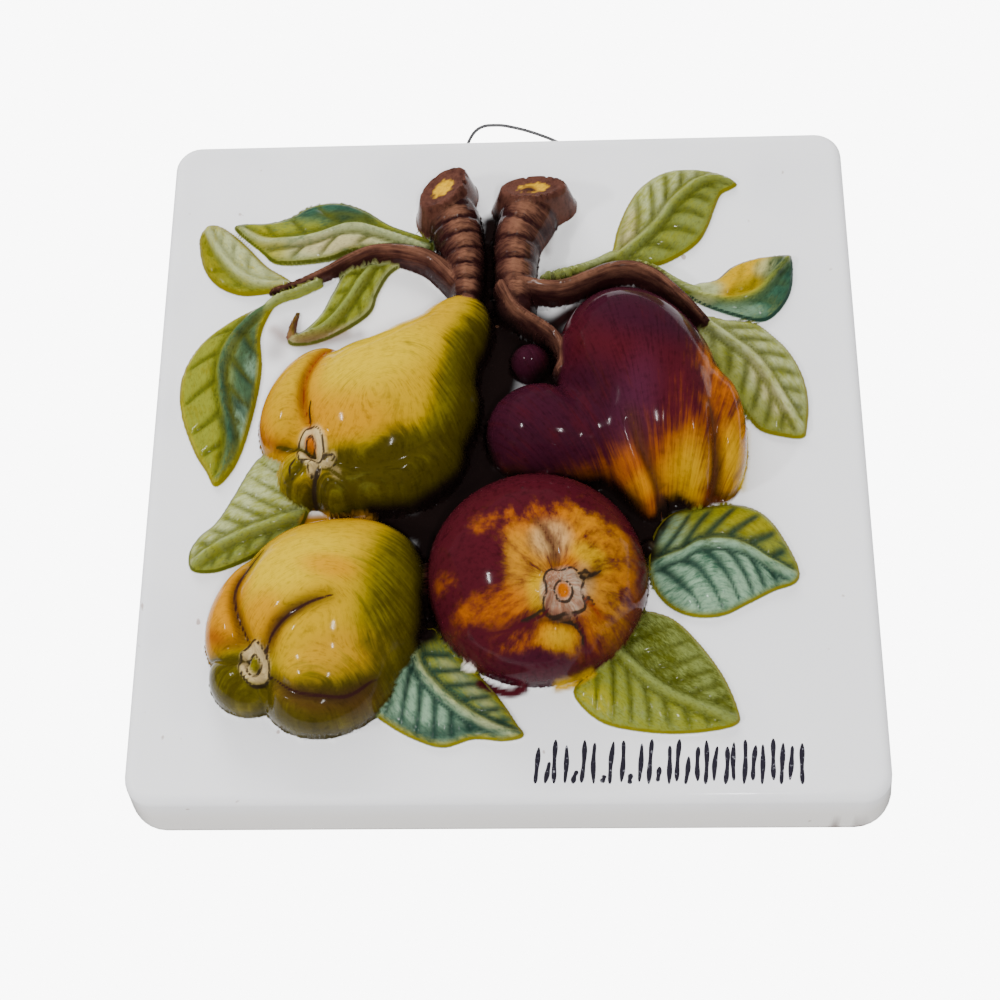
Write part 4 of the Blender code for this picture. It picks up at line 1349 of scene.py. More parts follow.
def wood() -> list[Form]:
    """The cut stems, the twigs, the apple's stalk, the leaves' stalks, a thorn and two drops of glaze.

    Returns:
        The forms in the order in which they are laid.
    """
    stalk = {"under": Glaze.SAGE, "over": Glaze.LIME, "ridge": Glaze.PALE_GREEN, "share": 0.3}
    return [
        Twig(
            [(-11, 38), (-10.8, 45.5), (-11.2, 55), (-13, 63), (-15, 70)],
            [3.8, 5.2, 5.8, 7, 8],
            [9, 11, 12, 13, 13],
            rings=7,
        ),
        Twig([(3, 41), (3, 53), (3.6, 62), (7, 71)], [6, 6.2, 7, 8.6], [11, 12, 13, 14], rings=5),
        Twig(
            [
                (-12, 46), (-17, 52), (-22, 56.4), (-30, 59.4), (-38, 60), (-45, 57.5), (-52, 54), (-60, 51),
                (-68, 48.6),
            ],
            [3.6, 3.6, 3.5, 3.2, 2.6, 2.0, 1.5, 1.0, 0.7],
            [9, 8.5, 8, 7, 6.5, 6, 5, 4, 3],
        ),
        Twig(
            [
                (2, 47), (12, 45.7), (18, 46.4), (24, 48.8), (30, 51.2), (36, 51.8), (42, 49.6), (47, 45.6),
                (52, 40.6), (57, 35.5),
            ],
            [4, 3.4, 3.2, 3.1, 3, 2.8, 2.6, 2.3, 2, 1.5],
            [11, 10, 9, 9, 9, 9, 9, 8.5, 8, 6],
        ),
        Twig(
            [(-0.5, 45), (2.5, 39), (6.4, 35), (10.3, 32.3), (14.1, 29.2), (16.2, 25.5), (16.5, 22),
             (15.2, 19)],
            [3, 2.7, 2.6, 2.5, 2.4, 2.3, 2.2, 2],
            [12, 12, 12.5, 13, 13, 12.5, 11.5, 10],
        ),
        Twig([(11, 49.5), (19, 51.8), (26, 54.8), (31, 58)], [1, 1.4, 1.6, 1.8], [8, 7.5, 6, 3.5], **stalk),
        Twig([(38, 54), (44, 51.5), (50, 48), (55, 46)], [1, 1.4, 1.6, 1.8], [7, 6.5, 5, 3], **stalk),
        Twig([(-54, 51), (-60, 48.4), (-66, 46.4), (-70, 43)], [0.9, 1.2, 1.3, 1.2], [4.5, 4, 3.4, 2.5],
             **stalk),
        Twig([(-60, 42), (-61.2, 38), (-61.6, 34.5)], [0.4, 0.9, 1.3], [1.6, 2, 2.4], under=Glaze.OLIVE,
             over=Glaze.BROWN),
        CutEnd((-17.5, 76), (8.5, 5.6), 50, 14.5, 9),
        CutEnd((8.6, 75.6), (9.6, 5.4), 4, 14.5, 8.5),
        Drop(Lobe((-9.5, -64.5), (2.5, 2.5), 0, 2.6), Glaze.WARM_SHADE),
        Drop(Lobe((39, -31), (2, 2.2), 0, 2.6), Glaze.CREAM),
    ]


def washes() -> list[Wash]:
    """The dark paint in the gaps between the forms, which is also painted shade there, and stray paint on the
    ground.

    Returns:
        The washes in the order in which they are brushed.
    """
    return [
        Wash([(-67, 37), (-61, 33), (-53, 33.5), (-46, 35.5)], 1.4, Glaze.BARK_LIGHT, 1.6, 0.5),
        # painted shade: the black and dark bark washes below fill the gaps between the forms and climb their
        # feet; they are dark paint too
        Wash([(-4, 70), (-4.5, 55), (-5.5, 44)], 3.2, Glaze.BLACK, climb=6),
        Wash([(-5.5, 46), (-3, 36), (-5, 24), (-6.5, 10), (-8, -4), (-12, -15), (-20, -23)], 6.5,
             Glaze.BLACK, 3, climb=7),
        Wash([(1, 38), (6, 31), (12, 27), (15, 22)], 8, Glaze.BLACK, 3, climb=6),
        Wash([(-34, -23), (-27, -24), (-21, -26), (-20.5, -34), (-21, -46), (-22, -54)], 5, Glaze.BLACK, 2,
             climb=8),
        Wash([(-20, -20), (-12, -15), (0, -13), (16, -12.5), (27, -15), (35, -24), (38, -33)], 3.6,
             Glaze.BLACK, 2, climb=8),
        Wash([(12, 35), (20, 41), (32, 47), (44, 45), (54, 36)], 2.4, Glaze.BARK_DARK, 1.5, climb=4),
        Wash([(42, -24), (45, -20), (50, -18.5)], 2.2, Glaze.BLACK, 1.2, climb=5),
        Wash([(-54, -22.5), (-46, -22), (-38, -22.5)], 2.2, Glaze.OCHRE, 1.2, climb=2),
        Wash([(-2, 44), (-2, 30), (-2.5, 20), (-6, 10), (-8, 0), (-10, -10), (-17, -20)], 7, Glaze.BLACK,
             2.5, climb=3),
        Wash([(2, 34), (10, 33), (17, 24), (20, 18)], 7, Glaze.BLACK, 2.5, climb=2),
        Wash([(-8, -10), (6, -12), (20, -13), (32, -18), (40, -27)], 5, Glaze.BLACK, 2, climb=2.5),
        Wash([(-6, -69), (1, -71), (5, -70)], 1.4, Glaze.MAROON, soft=0.6),
        Wash([(14, -69.8), (19, -68.6), (23, -66.6)], 1.0, Glaze.YELLOW, soft=0.6),
        Wash([(66, -8), (66.8, 2), (65, -14)], 1.0, Glaze.PALE_YELLOW, soft=1.0, amount=0.7),
        Wash([(-66, 30), (-63, 37), (-58, 34)], 3.0, Glaze.BARK, soft=3, amount=0.45, climb=1),
        Wash([(-58, 33), (-50, 33), (-42, 35)], 1.5, Glaze.BARK, soft=2, amount=0.5, climb=2),
        Wash([(12, 61), (12.5, 66)], 1.2, Glaze.BARK, soft=1.5, amount=0.5, climb=3),
    ]


@dataclass
class Relief:
    """All the forms in the order in which they lie on each other, and the ground between them."""

    forms: list[Form]
    washes: list[Wash]
    outermost: float = -1.4  # the range of the edge values that the material is given
    innermost: float = 0.6

    def _near(self, form: Form, x: Array, z: Array) -> Array:
        """Which of the places the form can touch."""
        low, high = form.reach()
        return (x > low[0]) & (x < high[0]) & (z > low[1]) & (z < high[1])

    def raised(self, x: Array, z: Array) -> Array:
        """How far the forms stand off the front at each place, below 0 outside them.

        Args:
            x: The places across.
            z: The places up.

        Returns:
            The rises, in layout units.
        """
        height = np.full(x.shape, DEEPEST)
        for form in self.forms:
            near = self._near(form, x, z)
            if near.any():
                height[near] = smooth_max(height[near], form.height(x[near], z[near]), FORM_BLEND)
        return height

    def height(self, x: Array, z: Array) -> Array:
        """How far the glazed face stands off the front at each place."""
        return smooth_max(self.raised(x, z), 0.0, FOOT_BLEND)

    def paint(self, x: Array, z: Array) -> tuple[Coat, Array, Array]:
        """Works out the paint at each place.

        Args:
            x: The places across.
            z: The places up.

        Returns:
            The coat of the topmost form, the colour of the ground, and how far inside a form the place is.
        """
        coat = Coat.plain(len(x), Glaze.WHITE, Glaze.WHITE, Glaze.WHITE)
        height = np.full(x.shape, DEEPEST)
        for form in self.forms:
            near = self._near(form, x, z)
            if not near.any():
                continue
            rise = form.height(x[near], z[near])
            weight = np.clip(0.5 + (rise - height[near]) / PAINT_BLEND, 0, 1)
            coat.cover(form.coat(x[near], z[near]), near, weight)
            height[near] = smooth_max(height[near], rise, FORM_BLEND)
        ground = np.ones((len(x), 1)) * Glaze.WHITE.linear
        for wash in self.washes:
            weight = wash.weight(x, z, height)
            for paint in (ground, coat.under, coat.over):
                tint(paint, wash.colour, weight)
        return coat, ground, np.clip(height / WALL_SLOPE, self.outermost, self.innermost)


@dataclass
class GlazedTile:
    """The whole casting: the relief, the slab's front, its rounded edges, its sides and its bare back."""

    relief: Relief
    side: float = 0.200  # across the front with its rounded edges
    thickness: float = 0.022
    draft: float = 0.003  # how much wider the back is at each side
    corner: float = 0.006  # the corners' radius
    arris: float = 0.003  # the radius of the front's rounded edges, and the degrees at which rings lie
    arris_turns: tuple[float, ...] = (22, 45, 68, 86)
    foot: float = 0.0006  # the rounding at the back
    cells: int = 290  # across the front
    border_cells: int = 5
    border: float = 6.0  # how wide the cells along the edge are in all, in layout units
    relax_rounds: int = 10
    relax_pull: float = 0.7
    chips: tuple[Point, ...] = ((87, 2.2), (93.5, 2.6))  # places and half lengths along the lower side's foot
    skin: float = 0.0001  # how far behind the front a place counts as the side's
    name: str = "glazed_relief"

    def face_grid(self) -> tuple[Array, Array, Array]:
        """Lays out the front.

        Returns:
            The grid's places across, up, and how far each stands off the front, in layout units.
        """
        half = (self.side / 2 - self.arris) / UNIT
        inner = np.linspace(-half + self.border, half - self.border, self.cells - 2 * self.border_cells + 1)
        edge = np.linspace(-half, -half + self.border, self.border_cells, endpoint=False)
        line = np.concatenate([edge, inner, -edge[::-1]])
        x, z = np.meshgrid(line, line)
        for _ in range(self.relax_rounds):
            self._relax(x, z)
        radius = (self.corner - self.arris * 0.4) / UNIT
        over_x = np.maximum(np.abs(x) - (half - radius), 0)
        over_z = np.maximum(np.abs(z) - (half - radius), 0)
        both = (over_x > 0) & (over_z > 0)
        far = np.hypot(over_x, over_z)
        pull = np.where(both, 1 - np.maximum(over_x, over_z) / np.where(far > 0, far, 1), 0)
        x = x - np.sign(x) * over_x * pull
        z = z - np.sign(z) * over_z * pull
        return x, z, self.relief.height(x.ravel(), z.ravel()).reshape(x.shape)

    def _relax(self, x: Array, z: Array) -> None:
        """Moves the grid's inner places so that its cells keep about one size on steep walls.

        Args:
            x: The places across.
            z: The places up.
        """
        y = self.relief.height(x.ravel(), z.ravel()).reshape(x.shape)
        spot = np.stack([x, y, z])
        middle = (spot[:, :-2, 1:-1] + spot[:, 2:, 1:-1] + spot[:, 1:-1, :-2] + spot[:, 1:-1, 2:]) / 4
        pull = middle - spot[:, 1:-1, 1:-1]
        upward, across = spot[:, 2:, 1:-1] - spot[:, :-2, 1:-1], spot[:, 1:-1, 2:] - spot[:, 1:-1, :-2]
        normal = np.cross(upward, across, axis=0)
        normal /= np.linalg.norm(normal, axis=0)
        pull -= normal * (pull * normal).sum(axis=0)
        x[1:-1, 1:-1] += self.relax_pull * pull[0]
        z[1:-1, 1:-1] += self.relax_pull * pull[2]

    def mesh(self) -> bpy.types.Mesh:
        """The closed mesh: the front's grid, rings round its edge and a flat back.

        Returns:
            The mesh.
        """
        x, z, y = self.face_grid()
        rows, columns = x.shape
        places = np.stack([x.ravel() * UNIT, -self.thickness - y.ravel() * UNIT, z.ravel() * UNIT], axis=1)
        at = np.arange(rows * columns).reshape(rows, columns)
        cells = np.stack([at[:-1, :-1], at[:-1, 1:], at[1:, 1:], at[1:, :-1]], axis=-1).reshape(-1, 4)
        loop = np.concatenate([at[0, :-1], at[:-1, -1], at[-1, :0:-1], at[:0:-1, 0]])
        rim = places[loop]
        flat = np.roll(rim, -1, 0) - np.roll(rim, 1, 0)
        out = np.stack([flat[:, 2], np.zeros(len(flat)), -flat[:, 0]], axis=1)
        out /= np.linalg.norm(out, axis=1)[:, None]
        turns = [math.radians(turn) for turn in self.arris_turns]
        rings = [(self.arris * math.sin(turn), self.arris * (1 - math.cos(turn))) for turn in turns]
        widest = self.arris + self.draft
        rings += [
            (self.arris + self.draft * 0.45, self.thickness * 0.5),
            (self.arris + self.draft * 0.94, self.thickness - 4 * self.foot),
            (widest, self.thickness - self.foot),
            (widest - self.foot * 0.3, self.thickness - self.foot * 0.3),
            (widest - self.foot, self.thickness),
        ]
        faces = [cells]
        layers = [places]
        before = loop
        for outward, back in rings:
            start = sum(len(layer) for layer in layers)
            layers.append(rim + out * outward + np.array([0, back, 0]))
            ring = start + np.arange(len(loop))
            faces.append(np.stack([before, ring, np.roll(ring, -1), np.roll(before, -1)], axis=1))
            before = ring
        return mesh_from(self.name, np.vstack(layers), np.vstack(faces), [before[::-1].tolist()])

    def paint(self, mesh: bpy.types.Mesh) -> None:
        """Stores the paint at the mesh's places as attributes, which the material reads.

        Args:
            mesh: The tile's mesh.
        """
        at = np.zeros(len(mesh.vertices) * 3)
        mesh.vertices.foreach_get("co", at)
        at = at.reshape(-1, 3)
        coat, ground, edge = self.relief.paint(at[:, 0] / UNIT, at[:, 2] / UNIT)
        tint(ground, Glaze.WARM_SHADE, 0.5 * smooth_step(-self.thickness, -self.thickness * 0.5, at[:, 1]))
        for middle, half_length in self.chips:
            away = np.hypot((at[:, 0] / UNIT - middle) / half_length, at[:, 1] / (5 * self.foot))
            low = at[:, 2] < -self.side / 2
            tint(ground, Glaze.BARK, np.where(low, smooth_step(1.1, 0.6, away), 0))
        edge[at[:, 1] > -self.thickness + self.skin] = self.relief.outermost
        bare = smooth_step(-3 * self.skin, -self.skin, at[:, 1])
        colours = {"under": coat.under, "over": coat.over, "line_colour": coat.line_colour, "ground": ground}
        for name, value in colours.items():
            rgba = np.hstack([np.clip(value, 0, 1), np.ones((len(value), 1))])
            mesh.attributes.new(name, "FLOAT_COLOR", "POINT").data.foreach_set("color", rgba.ravel())
        mesh.attributes.new("brush", "FLOAT_VECTOR", "POINT").data.foreach_set("vector", coat.brush.ravel())
        for name, value in {"share": coat.share, "line": coat.line, "edge": edge, "bare": bare}.items():
            mesh.attributes.new(name, "FLOAT", "POINT").data.foreach_set("value", value)

    def build(self, finish: bpy.types.Material) -> bpy.types.Object:
        """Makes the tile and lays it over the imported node.

        Args:
            finish: The painted glaze.

        Returns:
            The dressed tile.
        """
        mesh = self.mesh()
        self.paint(mesh)
        mesh.materials.append(finish)
        piece = placed(self.name, mesh)
        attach(piece, "root")
        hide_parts("tile")
        LOG.info("%s: %d faces", self.name, len(mesh.polygons))
        return piece


def mesh_from(name: str, places: Array, quads: Array, extra: list[list[int]]) -> bpy.types.Mesh:
    """Makes a smooth-shaded mesh.

    Args:
        name: The mesh's name.
        places: Its places in metres, one a row.
        quads: Its four-cornered faces.
        extra: Any other faces.

    Returns:
        The mesh.
    """
    mesh = bpy.data.meshes.new(name)
    mesh.from_pydata(places.tolist(), [], quads.tolist() + extra)
    mesh.validate()
    mesh.shade_smooth()
    mesh.set_sharp_from_angle(angle=CRISP_ANGLE)
    return mesh


def placed(name: str, data: bpy.types.ID) -> bpy.types.Object:
    """A new object in the scene.

    Args:
        name: Its name.
        data: Its mesh, curve, light or camera.

    Returns:
        The object.
    """
    piece = bpy.data.objects.new(name, data)
    bpy.context.scene.collection.objects.link(piece)
    return piece


@dataclass
class BrushedWord:
    """The row of brushed marks at the bottom right, uprights that are not letters."""

    left: float = 8.5
    right: float = 76.5
    low: float = -95.5
    high: float = -83.5
    half_width: float = 0.66
    proud: float = 0.14
    profile: tuple[Point, ...] = ((-1.0, -0.3), (-0.7, 0.75), (0.0, 1.0), (0.7, 0.75), (1.0, -0.3))
    tips: float = 0.3
    marks: int = 29
    sway: float = 0.25
    lean: float = 0.45
    lean_change: float = 0.2
    foot_change: float = 0.05
    head_change: float = 0.09
    short_change: float = 0.3  # of every third mark
    name: str = "brushed_marks"

    def paths(self) -> list[Path]:
        """The strokes: a row of uprights that lean the same way and stand unevenly high.

        Returns:
            The strokes' paths.
        """
        pitch = (self.right - self.left) / (self.marks - 1)
        rise = self.high - self.low
        made = []
        for mark in range(self.marks):
            x = self.left + mark * pitch + self.sway * math.sin(mark * 2.3)
            lean = self.lean + self.lean_change * math.sin(mark * 1.7 + 0.4)
            low = self.low + rise * self.foot_change * (1 + math.sin(mark * 3.1))
            drop = self.head_change + self.short_change * (mark % 3 == 1)
            high = self.high - rise * drop * (1 + math.sin(mark * 1.9 + 1))
            bow = self.sway * math.sin(mark * 2.9)
            made.append([(x - lean, low), (x + bow, (low + high) / 2), (x + lean, high)])
        return made

    def build(self, front: float, finish: bpy.types.Material) -> bpy.types.Object:
        """Makes the strokes on the front.

        Args:
            front: How far the tile's front stands off the wall, in metres.
            finish: The dark glaze.

        Returns:
            The strokes.
        """
        places, quads = [], []
        many = len(self.profile)
        for path in self.paths():
            curve = curve_through(path, closed=False, steps=8)
            run = np.gradient(curve, axis=0)
            run /= np.linalg.norm(run, axis=1)[:, None]
            side = np.stack([-run[:, 1], run[:, 0]], axis=1)
            share = np.linspace(0, 1, len(curve))
            width = self.half_width * taper(share, self.tips, fullness=6)
            width *= 1 + 0.18 * np.sin(share * 9 + curve[0, 0])
            start = len(places)
            for spot, across, wide in zip(curve, side, width):
                for step, up in self.profile:
                    at = spot + across * step * wide
                    off = self.proud * up * wide / self.half_width
                    places.append((at[0] * UNIT, -front - off * UNIT, at[1] * UNIT))
            for row in range(start, start + (len(curve) - 1) * many, many):
                quads += [(a, a + 1, a + many + 1, a + many) for a in range(row, row + many - 1)]
                quads.append((row + many - 1, row, row + many, row + 2 * many - 1))
        mesh = mesh_from(self.name, np.array(places), np.array(quads), [])
        mesh.materials.append(finish)
        piece = placed(self.name, mesh)
        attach(piece, "root")
        LOG.info("%s: %d strokes", self.name, len(self.paths()))
        return piece


@dataclass
class HangingWire:
    """The bent wire whose loop stands up behind the top edge."""

    diameter: float = 0.00098
    spread: float = 0.034  # between its feet
    shift: float = 0.0035  # to the right of the middle
    rise: float = 0.013  # of the loop over the top edge
    depth: float = 0.010  # of its feet under it
    setback: float = 0.005  # from the wall
    top: float = 0.103  # the tile's top edge
    name: str = "steel_wire"

    def bends(self) -> Path:
        """The wire's bends as (x, z), from one foot up round the loop and down to the other.

        Returns:
            The bends in order.
        """
        foot = self.spread / 2
        left = [(-foot, self.top - self.depth), (-foot, self.top - self.depth / 2), (-foot, self.top)]
        loop = [
            (-0.49, 0.23), (-0.474, 0.46), (-0.432, 0.73), (-0.379, 0.9), (-0.315, 0.985), (-0.235, 1),
            (-0.126, 0.977), (0.059, 0.838), (0.244, 0.638), (0.368, 0.46), (0.456, 0.27), (0.491, 0.115),
        ]
        right = [(foot, z) for _, z in reversed(left)]
        return left + [(x * self.spread, self.top + z * self.rise) for x, z in loop] + right

    def build(self, finish: bpy.types.Material) -> bpy.types.Object:
        """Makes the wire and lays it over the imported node.

        Args:
            finish: The dull steel.

        Returns:
            The wire.
        """
        curve = bpy.data.curves.new(self.name, "CURVE")
        curve.dimensions = "3D"
        curve.bevel_depth = self.diameter / 2
        curve.bevel_resolution = 4
        curve.use_fill_caps = True
        spots = curve_through(self.bends(), closed=False, steps=8)
        line = curve.splines.new("POLY")
        line.points.add(len(spots) - 1)
        for point, (x, z) in zip(line.points, spots):
            point.co = (self.shift + x, -self.setback, z, 1)
        shape = placed("wire_path", curve)
        mesh = bpy.data.meshes.new_from_object(shape.evaluated_get(bpy.context.evaluated_depsgraph_get()))
        bpy.data.objects.remove(shape)
        mesh.name = self.name
        mesh.materials.clear()
        mesh.materials.append(finish)
        mesh.shade_smooth()
        mesh.set_sharp_from_angle(angle=CRISP_ANGLE)
        piece = placed(self.name, mesh)
        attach(piece, "root")
        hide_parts("hanging_wire")
        LOG.info("%s: %d bends", self.name, len(self.bends()))
        return piece


class Op(Enum):
    """The sums that a shader's Math node does here."""

    ADD = "ADD"
    SUBTRACT = "SUBTRACT"
    MULTIPLY = "MULTIPLY"


@dataclass(frozen=True)
class Signal:
    """A value that runs along a shader's links. Python's operators add its Math nodes."""

    bench: "Bench"
    socket: bpy.types.NodeSocket

    def _sum(self, op: Op, first: "Signal | float", second: "Signal | float") -> "Signal":
        """Adds the Math node of one operator."""
        return self.bench.node("ShaderNodeMath", {"operation": op.value}, {0: first, 1: second})

    def __add__(self, other: "Signal | float") -> "Signal":
        """self + other."""
        return self._sum(Op.ADD, self, other)

    __radd__ = __add__

    def __sub__(self, other: "Signal | float") -> "Signal":
        """self - other."""
        return self._sum(Op.SUBTRACT, self, other)

    def __rsub__(self, other: float) -> "Signal":
        """other - self."""
        return self._sum(Op.SUBTRACT, other, self)

    def __mul__(self, other: "Signal | float") -> "Signal":
        """self * other."""
        return self._sum(Op.MULTIPLY, self, other)

    __rmul__ = __mul__

    def step(self, low: float, high: float) -> "Signal":
        """A soft step from 0 at low to 1 at high."""
        ends = {"Value": self, "From Min": low, "From Max": high}
        return self.bench.node("ShaderNodeMapRange", {"interpolation_type": "SMOOTHSTEP"}, ends)


@dataclass(frozen=True)
class Bench:
    """The node tree of one finish."""

    tree: bpy.types.NodeTree

    @classmethod
    def new(cls, name: str) -> tuple["Bench", bpy.types.Material]:
        """A new material with its Principled shader, and the bench that works on it.

        Args:
            name: Its name.

        Returns:
            The bench and the material.
        """
        material = bpy.data.materials.new(name)
        material.use_nodes = True
        return cls(material.node_tree), material

    @property
    def where(self) -> Signal:
        """The place on the piece, in its own metres."""
        return self.node("ShaderNodeTexCoord", {}, {}, "Object")

    def node(self, kind: str, settings: dict, inputs: dict, output: int | str = 0) -> Signal:
        """Adds a node.

        Args:
            kind: The node's type.
            settings: Its own settings, set first.
            inputs: The value or link of each of its sockets.
            output: Which output the signal comes from.

        Returns:
            The node's output.
        """
        made = self.tree.nodes.new(kind)
        for name, value in settings.items():
            setattr(made, name, value)
        for name, value in inputs.items():
            self.feed(made.inputs[name], value)
        return Signal(self, made.outputs[output])

    def feed(self, socket: bpy.types.NodeSocket, value: object) -> None:
        """Links a signal to a socket, or sets the socket's own value.

        Args:
            socket: The socket.
            value: A signal, a paint or a plain value.
        """
        if isinstance(value, Signal):
            self.tree.links.new(value.socket, socket)
        elif isinstance(value, Glaze):
            socket.default_value = (*value.linear, 1)
        else:
            socket.default_value = value

    def stored(self, name: str, output: str) -> Signal:
        """An attribute that the mesh stores."""
        return self.node("ShaderNodeAttribute", {"attribute_name": name}, {}, output)

    def noise(self, where: Signal, scale: float, detail: float = 2, rough: float = 0.5) -> Signal:
        """Cloudy values between 0 and 1."""
        inputs = {"Vector": where, "Scale": scale, "Detail": detail, "Roughness": rough}
        return self.node("ShaderNodeTexNoise", {}, inputs)

    def mix(self, share: Signal | float, first: object, second: object, mode: str = "MIX") -> Signal:
        """Mixes two colours."""
        settings = {"data_type": "RGBA", "blend_type": mode}
        return self.node("ShaderNodeMix", settings, {0: share, 6: first, 7: second}, 2)

    def bump(self, height: Signal, distance: float, strength: float = 1.0) -> Signal:
        """Turns a height into a normal."""
        return self.node("ShaderNodeBump", {}, {"Height": height, "Distance": distance, "Strength": strength})

    def finish(self, **sockets: object) -> None:
        """Feeds the Principled shader's sockets, named with _ for a space."""
        shader = self.tree.nodes["Principled BSDF"]
        for name, value in sockets.items():
            self.feed(shader.inputs[name.replace("_", " ")], value)


@dataclass(frozen=True)
class PaintedGlaze:
    """White glaze with paints brushed into it, and bare clay at the back."""

    gloss: float = 0.07
    clay_roughness: float = 0.85
    ior: float = 1.14
    wave_height: float = 0.00025
    wave_strength: float = 0.3
    mottle_scale: float = 700
    blotch_scale: float = 120
    speck_scale: float = 260
    cloud_scale: float = 22
    clay_scale: float = 900

    def make(self) -> bpy.types.Material:
        """The material. Its paints come from what the tile's mesh stores.

        Returns:
            The material.
        """
        bench, material = Bench.new("painted_glaze")
        where = bench.where
        brush = bench.stored("brush", "Vector")
        streak = bench.noise(brush, 1.0, 4, 0.62)
        fine = bench.noise(brush, 3.2, 3, 0.6)
        mottle = bench.noise(where, self.mottle_scale, 3, 0.6)
        blotch = bench.noise(where, self.blotch_scale)
        share = bench.stored("share", "Fac")
        stroke = (share - 0.5) * 1.35 + (streak - 0.5) * 1.5 + (blotch - 0.5) * 0.9 + (fine - 0.5) * 0.6 + 0.5
        paints = (bench.stored(name, "Color") for name in ("under", "over"))
        paint = bench.mix(stroke.step(0.1, 0.9), *paints)
        paint = bench.mix((mottle * 0.4 + fine * 0.6).step(0.55, 0.3) * 0.42, paint, Glaze.SOOT, "MULTIPLY")
        line = bench.stored("line", "Fac") + (mottle - 0.5) * 0.4
        paint = bench.mix(line.step(1.5, 0.6) * 0.92, paint, bench.stored("line_colour", "Color"))
        speck = bench.noise(where, self.speck_scale, 1, 0.4)
        cloud = bench.noise(where, self.cloud_scale).step(0.5, 0.75)
        ground = bench.mix(cloud * 0.25, bench.stored("ground", "Color"), Glaze.LILAC_SHADE, "MULTIPLY")
        ground = bench.mix(speck.step(0.77, 0.82) * 0.6, ground, Glaze.BARK_LIGHT)
        edge = bench.stored("edge", "Fac") + (fine - 0.5) * 0.25
        coloured = bench.mix(edge.step(-0.32, 0.05), ground, paint)
        grit = bench.noise(where, self.clay_scale, 4, 0.7)
        clay = bench.mix(grit.step(0.3, 0.7), Glaze.CLAY, Glaze.CREAM)
        bare = bench.stored("bare", "Fac").step(0.4, 0.6)
        coloured = bench.mix(bare, coloured, clay)
        wavy = blotch * 0.7 + mottle * 0.08 + streak * 0.22
        roughness = bare * (self.clay_roughness - self.gloss) + self.gloss + mottle * 0.06
        bench.finish(
            Base_Color=coloured,
            Roughness=roughness,
            Normal=bench.bump(wavy, self.wave_height, self.wave_strength),
            IOR=self.ior,
        )
        return material


@dataclass(frozen=True)
class DarkInk:
    """The dark glaze of the brushed marks."""

    dry_scale: float = 900

    def make(self) -> bpy.types.Material:
        """The material, a little thinner where the brush ran dry.

        Returns:
            The material.
        """
        bench, material = Bench.new("dark_ink")
        dry = bench.noise(bench.where, self.dry_scale, 3, 0.6)
        bench.finish(
            Base_Color=bench.mix(dry.step(0.58, 0.8) * 0.5, Glaze.INK, Glaze.LILAC_SHADE),
            Roughness=dry * 0.1 + 0.1,
        )
        return material


@dataclass(frozen=True)
class DullSteel:
    """Drawn wire gone dull."""

    tarnish_scale: float = 90
    metallic: float = 0.2

    def make(self) -> bpy.types.Material:
        """The material, with faint tarnish along it.

        Returns:
            The material.
        """
        bench, material = Bench.new("dull_steel")
        tarnish = bench.noise(bench.where, self.tarnish_scale)
        bench.finish(
            Base_Color=bench.mix(tarnish.step(0.45, 0.7) * 0.5, Glaze.STEEL, Glaze.BARK_DARK),
            Roughness=tarnish * 0.3 + 0.4,
            Metallic=self.metallic,
        )
        return material


@dataclass(frozen=True)
class PaleFloor:
    """A plain pale studio floor."""

    grey: float = 0.8

    def make(self) -> bpy.types.Material:
        """The material, with the faintest unevenness.

        Returns:
            The material.
        """
        bench, material = Bench.new("pale_floor")
        unevenness = bench.noise(bench.where, 3)
        bench.finish(Base_Color=(self.grey, self.grey, self.grey, 1), Roughness=unevenness * 0.1 + 0.6)
        return material


@dataclass(frozen=True)
class Lamp:
    """One rectangular studio light, aimed at the middle of the tile."""

    name: str
    place: tuple[float, float, float]
    size: tuple[float, float]
    power: float
    mirrored: bool = True

    def build(self) -> None:
        """Hangs the light."""
        data = bpy.data.lights.new(self.name, "AREA")
        data.shape = "RECTANGLE"
        data.size, data.size_y = self.size
        data.energy = self.power
        lamp = placed(self.name, data)
        lamp.location = self.place
        lamp.visible_glossy = self.mirrored
        lamp.rotation_euler = (-Vector(self.place)).to_track_quat("-Z", "Y").to_euler()


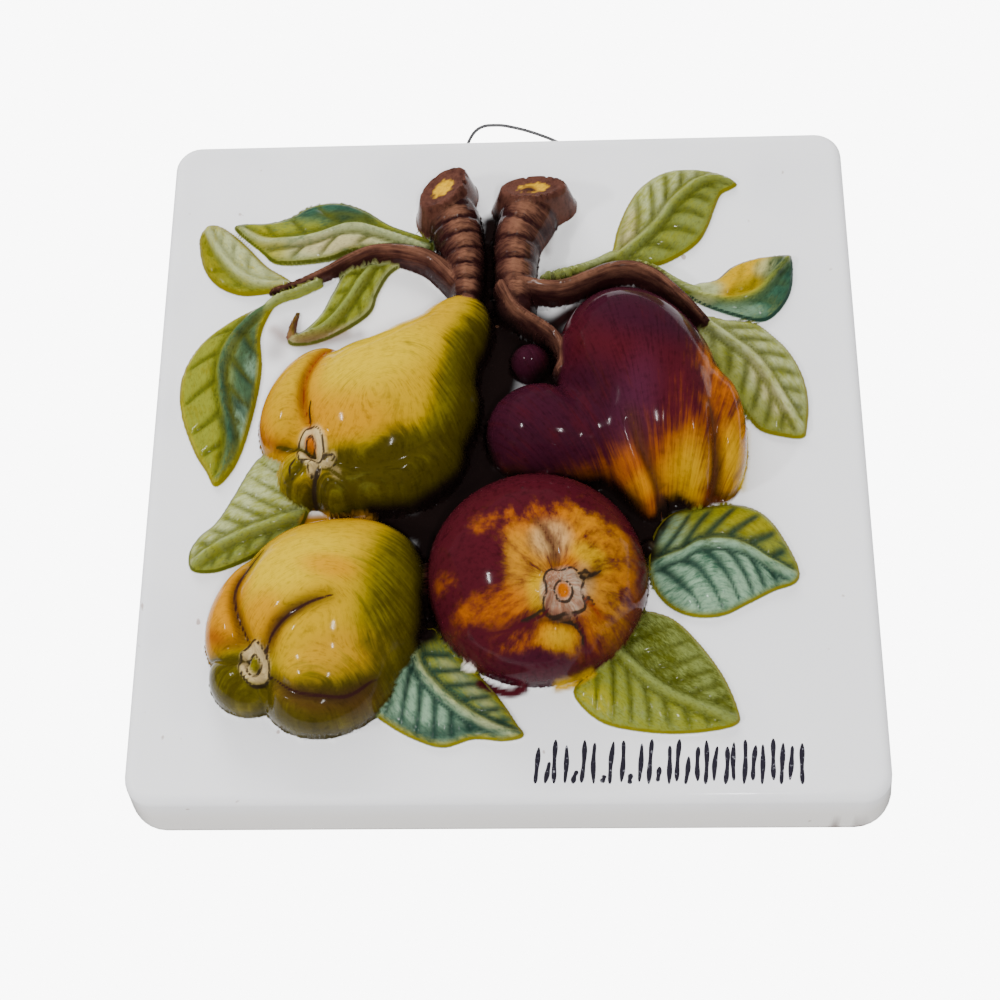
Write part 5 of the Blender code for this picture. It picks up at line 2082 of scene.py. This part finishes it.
@dataclass(frozen=True)
class Studio:
    """The floor, the pale surroundings, the lights and the camera."""

    camera_place: tuple[float, float, float] = (0.01798, -0.43655, -0.17383)
    yaw: float = -2.6627  # the camera's turns, in degrees
    pitch: float = 20.7589
    roll: float = 0.1651
    lens: float = 58.0
    sensor: float = 36.0
    nearest_seen: float = 0.01
    floor_level: float = -0.6
    floor_side: float = 6.0
    surround: float = 1.25  # how bright the room is for the tile, and where the glaze mirrors it
    sheen: float = 0.3
    backdrop: float = 9.0  # and in the picture's background
    lamps: tuple[Lamp, ...] = (
        Lamp("left_strip", (-0.75, -0.70, -0.20), (0.012, 0.16), 5.0),
        Lamp("near_strip", (0.16, -0.95, -0.50), (0.012, 0.16), 5.0),
        Lamp("top_soft", (-0.2, -0.55, 0.9), (0.7, 0.3), 11.0, mirrored=False),
    )

    def camera(self) -> None:
        """Sets up the camera where the photograph was taken from."""
        data = bpy.data.cameras.new("camera")
        data.sensor_width = self.sensor
        data.lens = self.lens
        data.clip_start = self.nearest_seen
        camera = placed("camera", data)
        yaw, pitch, roll = (math.radians(angle) for angle in (self.yaw, self.pitch, self.roll))
        ahead = Vector((math.sin(yaw) * math.cos(pitch), math.cos(yaw) * math.cos(pitch), math.sin(pitch)))
        level = Vector((math.cos(yaw), -math.sin(yaw), 0))
        above = level.cross(ahead)
        right = level * math.cos(roll) + above * math.sin(roll)
        up = above * math.cos(roll) - level * math.sin(roll)
        turn = Matrix((right, up, -ahead)).transposed().to_4x4()
        camera.matrix_world = Matrix.Translation(self.camera_place) @ turn
        bpy.context.scene.camera = camera

    def floor(self) -> None:
        """Lays the floor below the tile."""
        half = self.floor_side / 2
        corners = [(-half, -half), (half, -half), (half, half), (-half, half)]
        mesh = bpy.data.meshes.new("floor")
        mesh.from_pydata([(x, y, self.floor_level) for x, y in corners], [], [(0, 1, 2, 3)])
        mesh.materials.append(PaleFloor().make())
        floor = placed("floor", mesh)
        floor.visible_glossy = False

    def surroundings(self) -> None:
        """Fills the background with plain white, and the room with a softer, even light."""
        world = bpy.data.worlds.new("pale_room")
        world.use_nodes = True
        bench = Bench(world.node_tree)
        ray = bench.node("ShaderNodeLightPath", {}, {}, "Is Camera Ray")
        glossy = bench.node("ShaderNodeLightPath", {}, {}, "Is Glossy Ray")
        room = glossy * (self.sheen - self.surround) + self.surround
        backdrop = world.node_tree.nodes["Background"]
        backdrop.inputs["Color"].default_value = (1, 1, 1, 1)
        bench.feed(backdrop.inputs["Strength"], ray * (self.backdrop - self.surround) + room)
        bpy.context.scene.world = world

    def build(self) -> None:
        """Sets up the whole studio."""
        self.camera()
        self.floor()
        self.surroundings()
        for lamp in self.lamps:
            lamp.build()


def main() -> None:
    """Builds the dressed tile, its wire and the studio."""
    logging.basicConfig(level=logging.INFO, format="%(name)s %(message)s")
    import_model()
    tile = GlazedTile(Relief([*leaves(), *fruits(), *wood()], washes()))
    tile.build(PaintedGlaze().make())
    BrushedWord().build(tile.thickness, DarkInk().make())
    HangingWire().build(DullSteel().make())
    Studio().build()


if __name__ == "__main__":
    main()
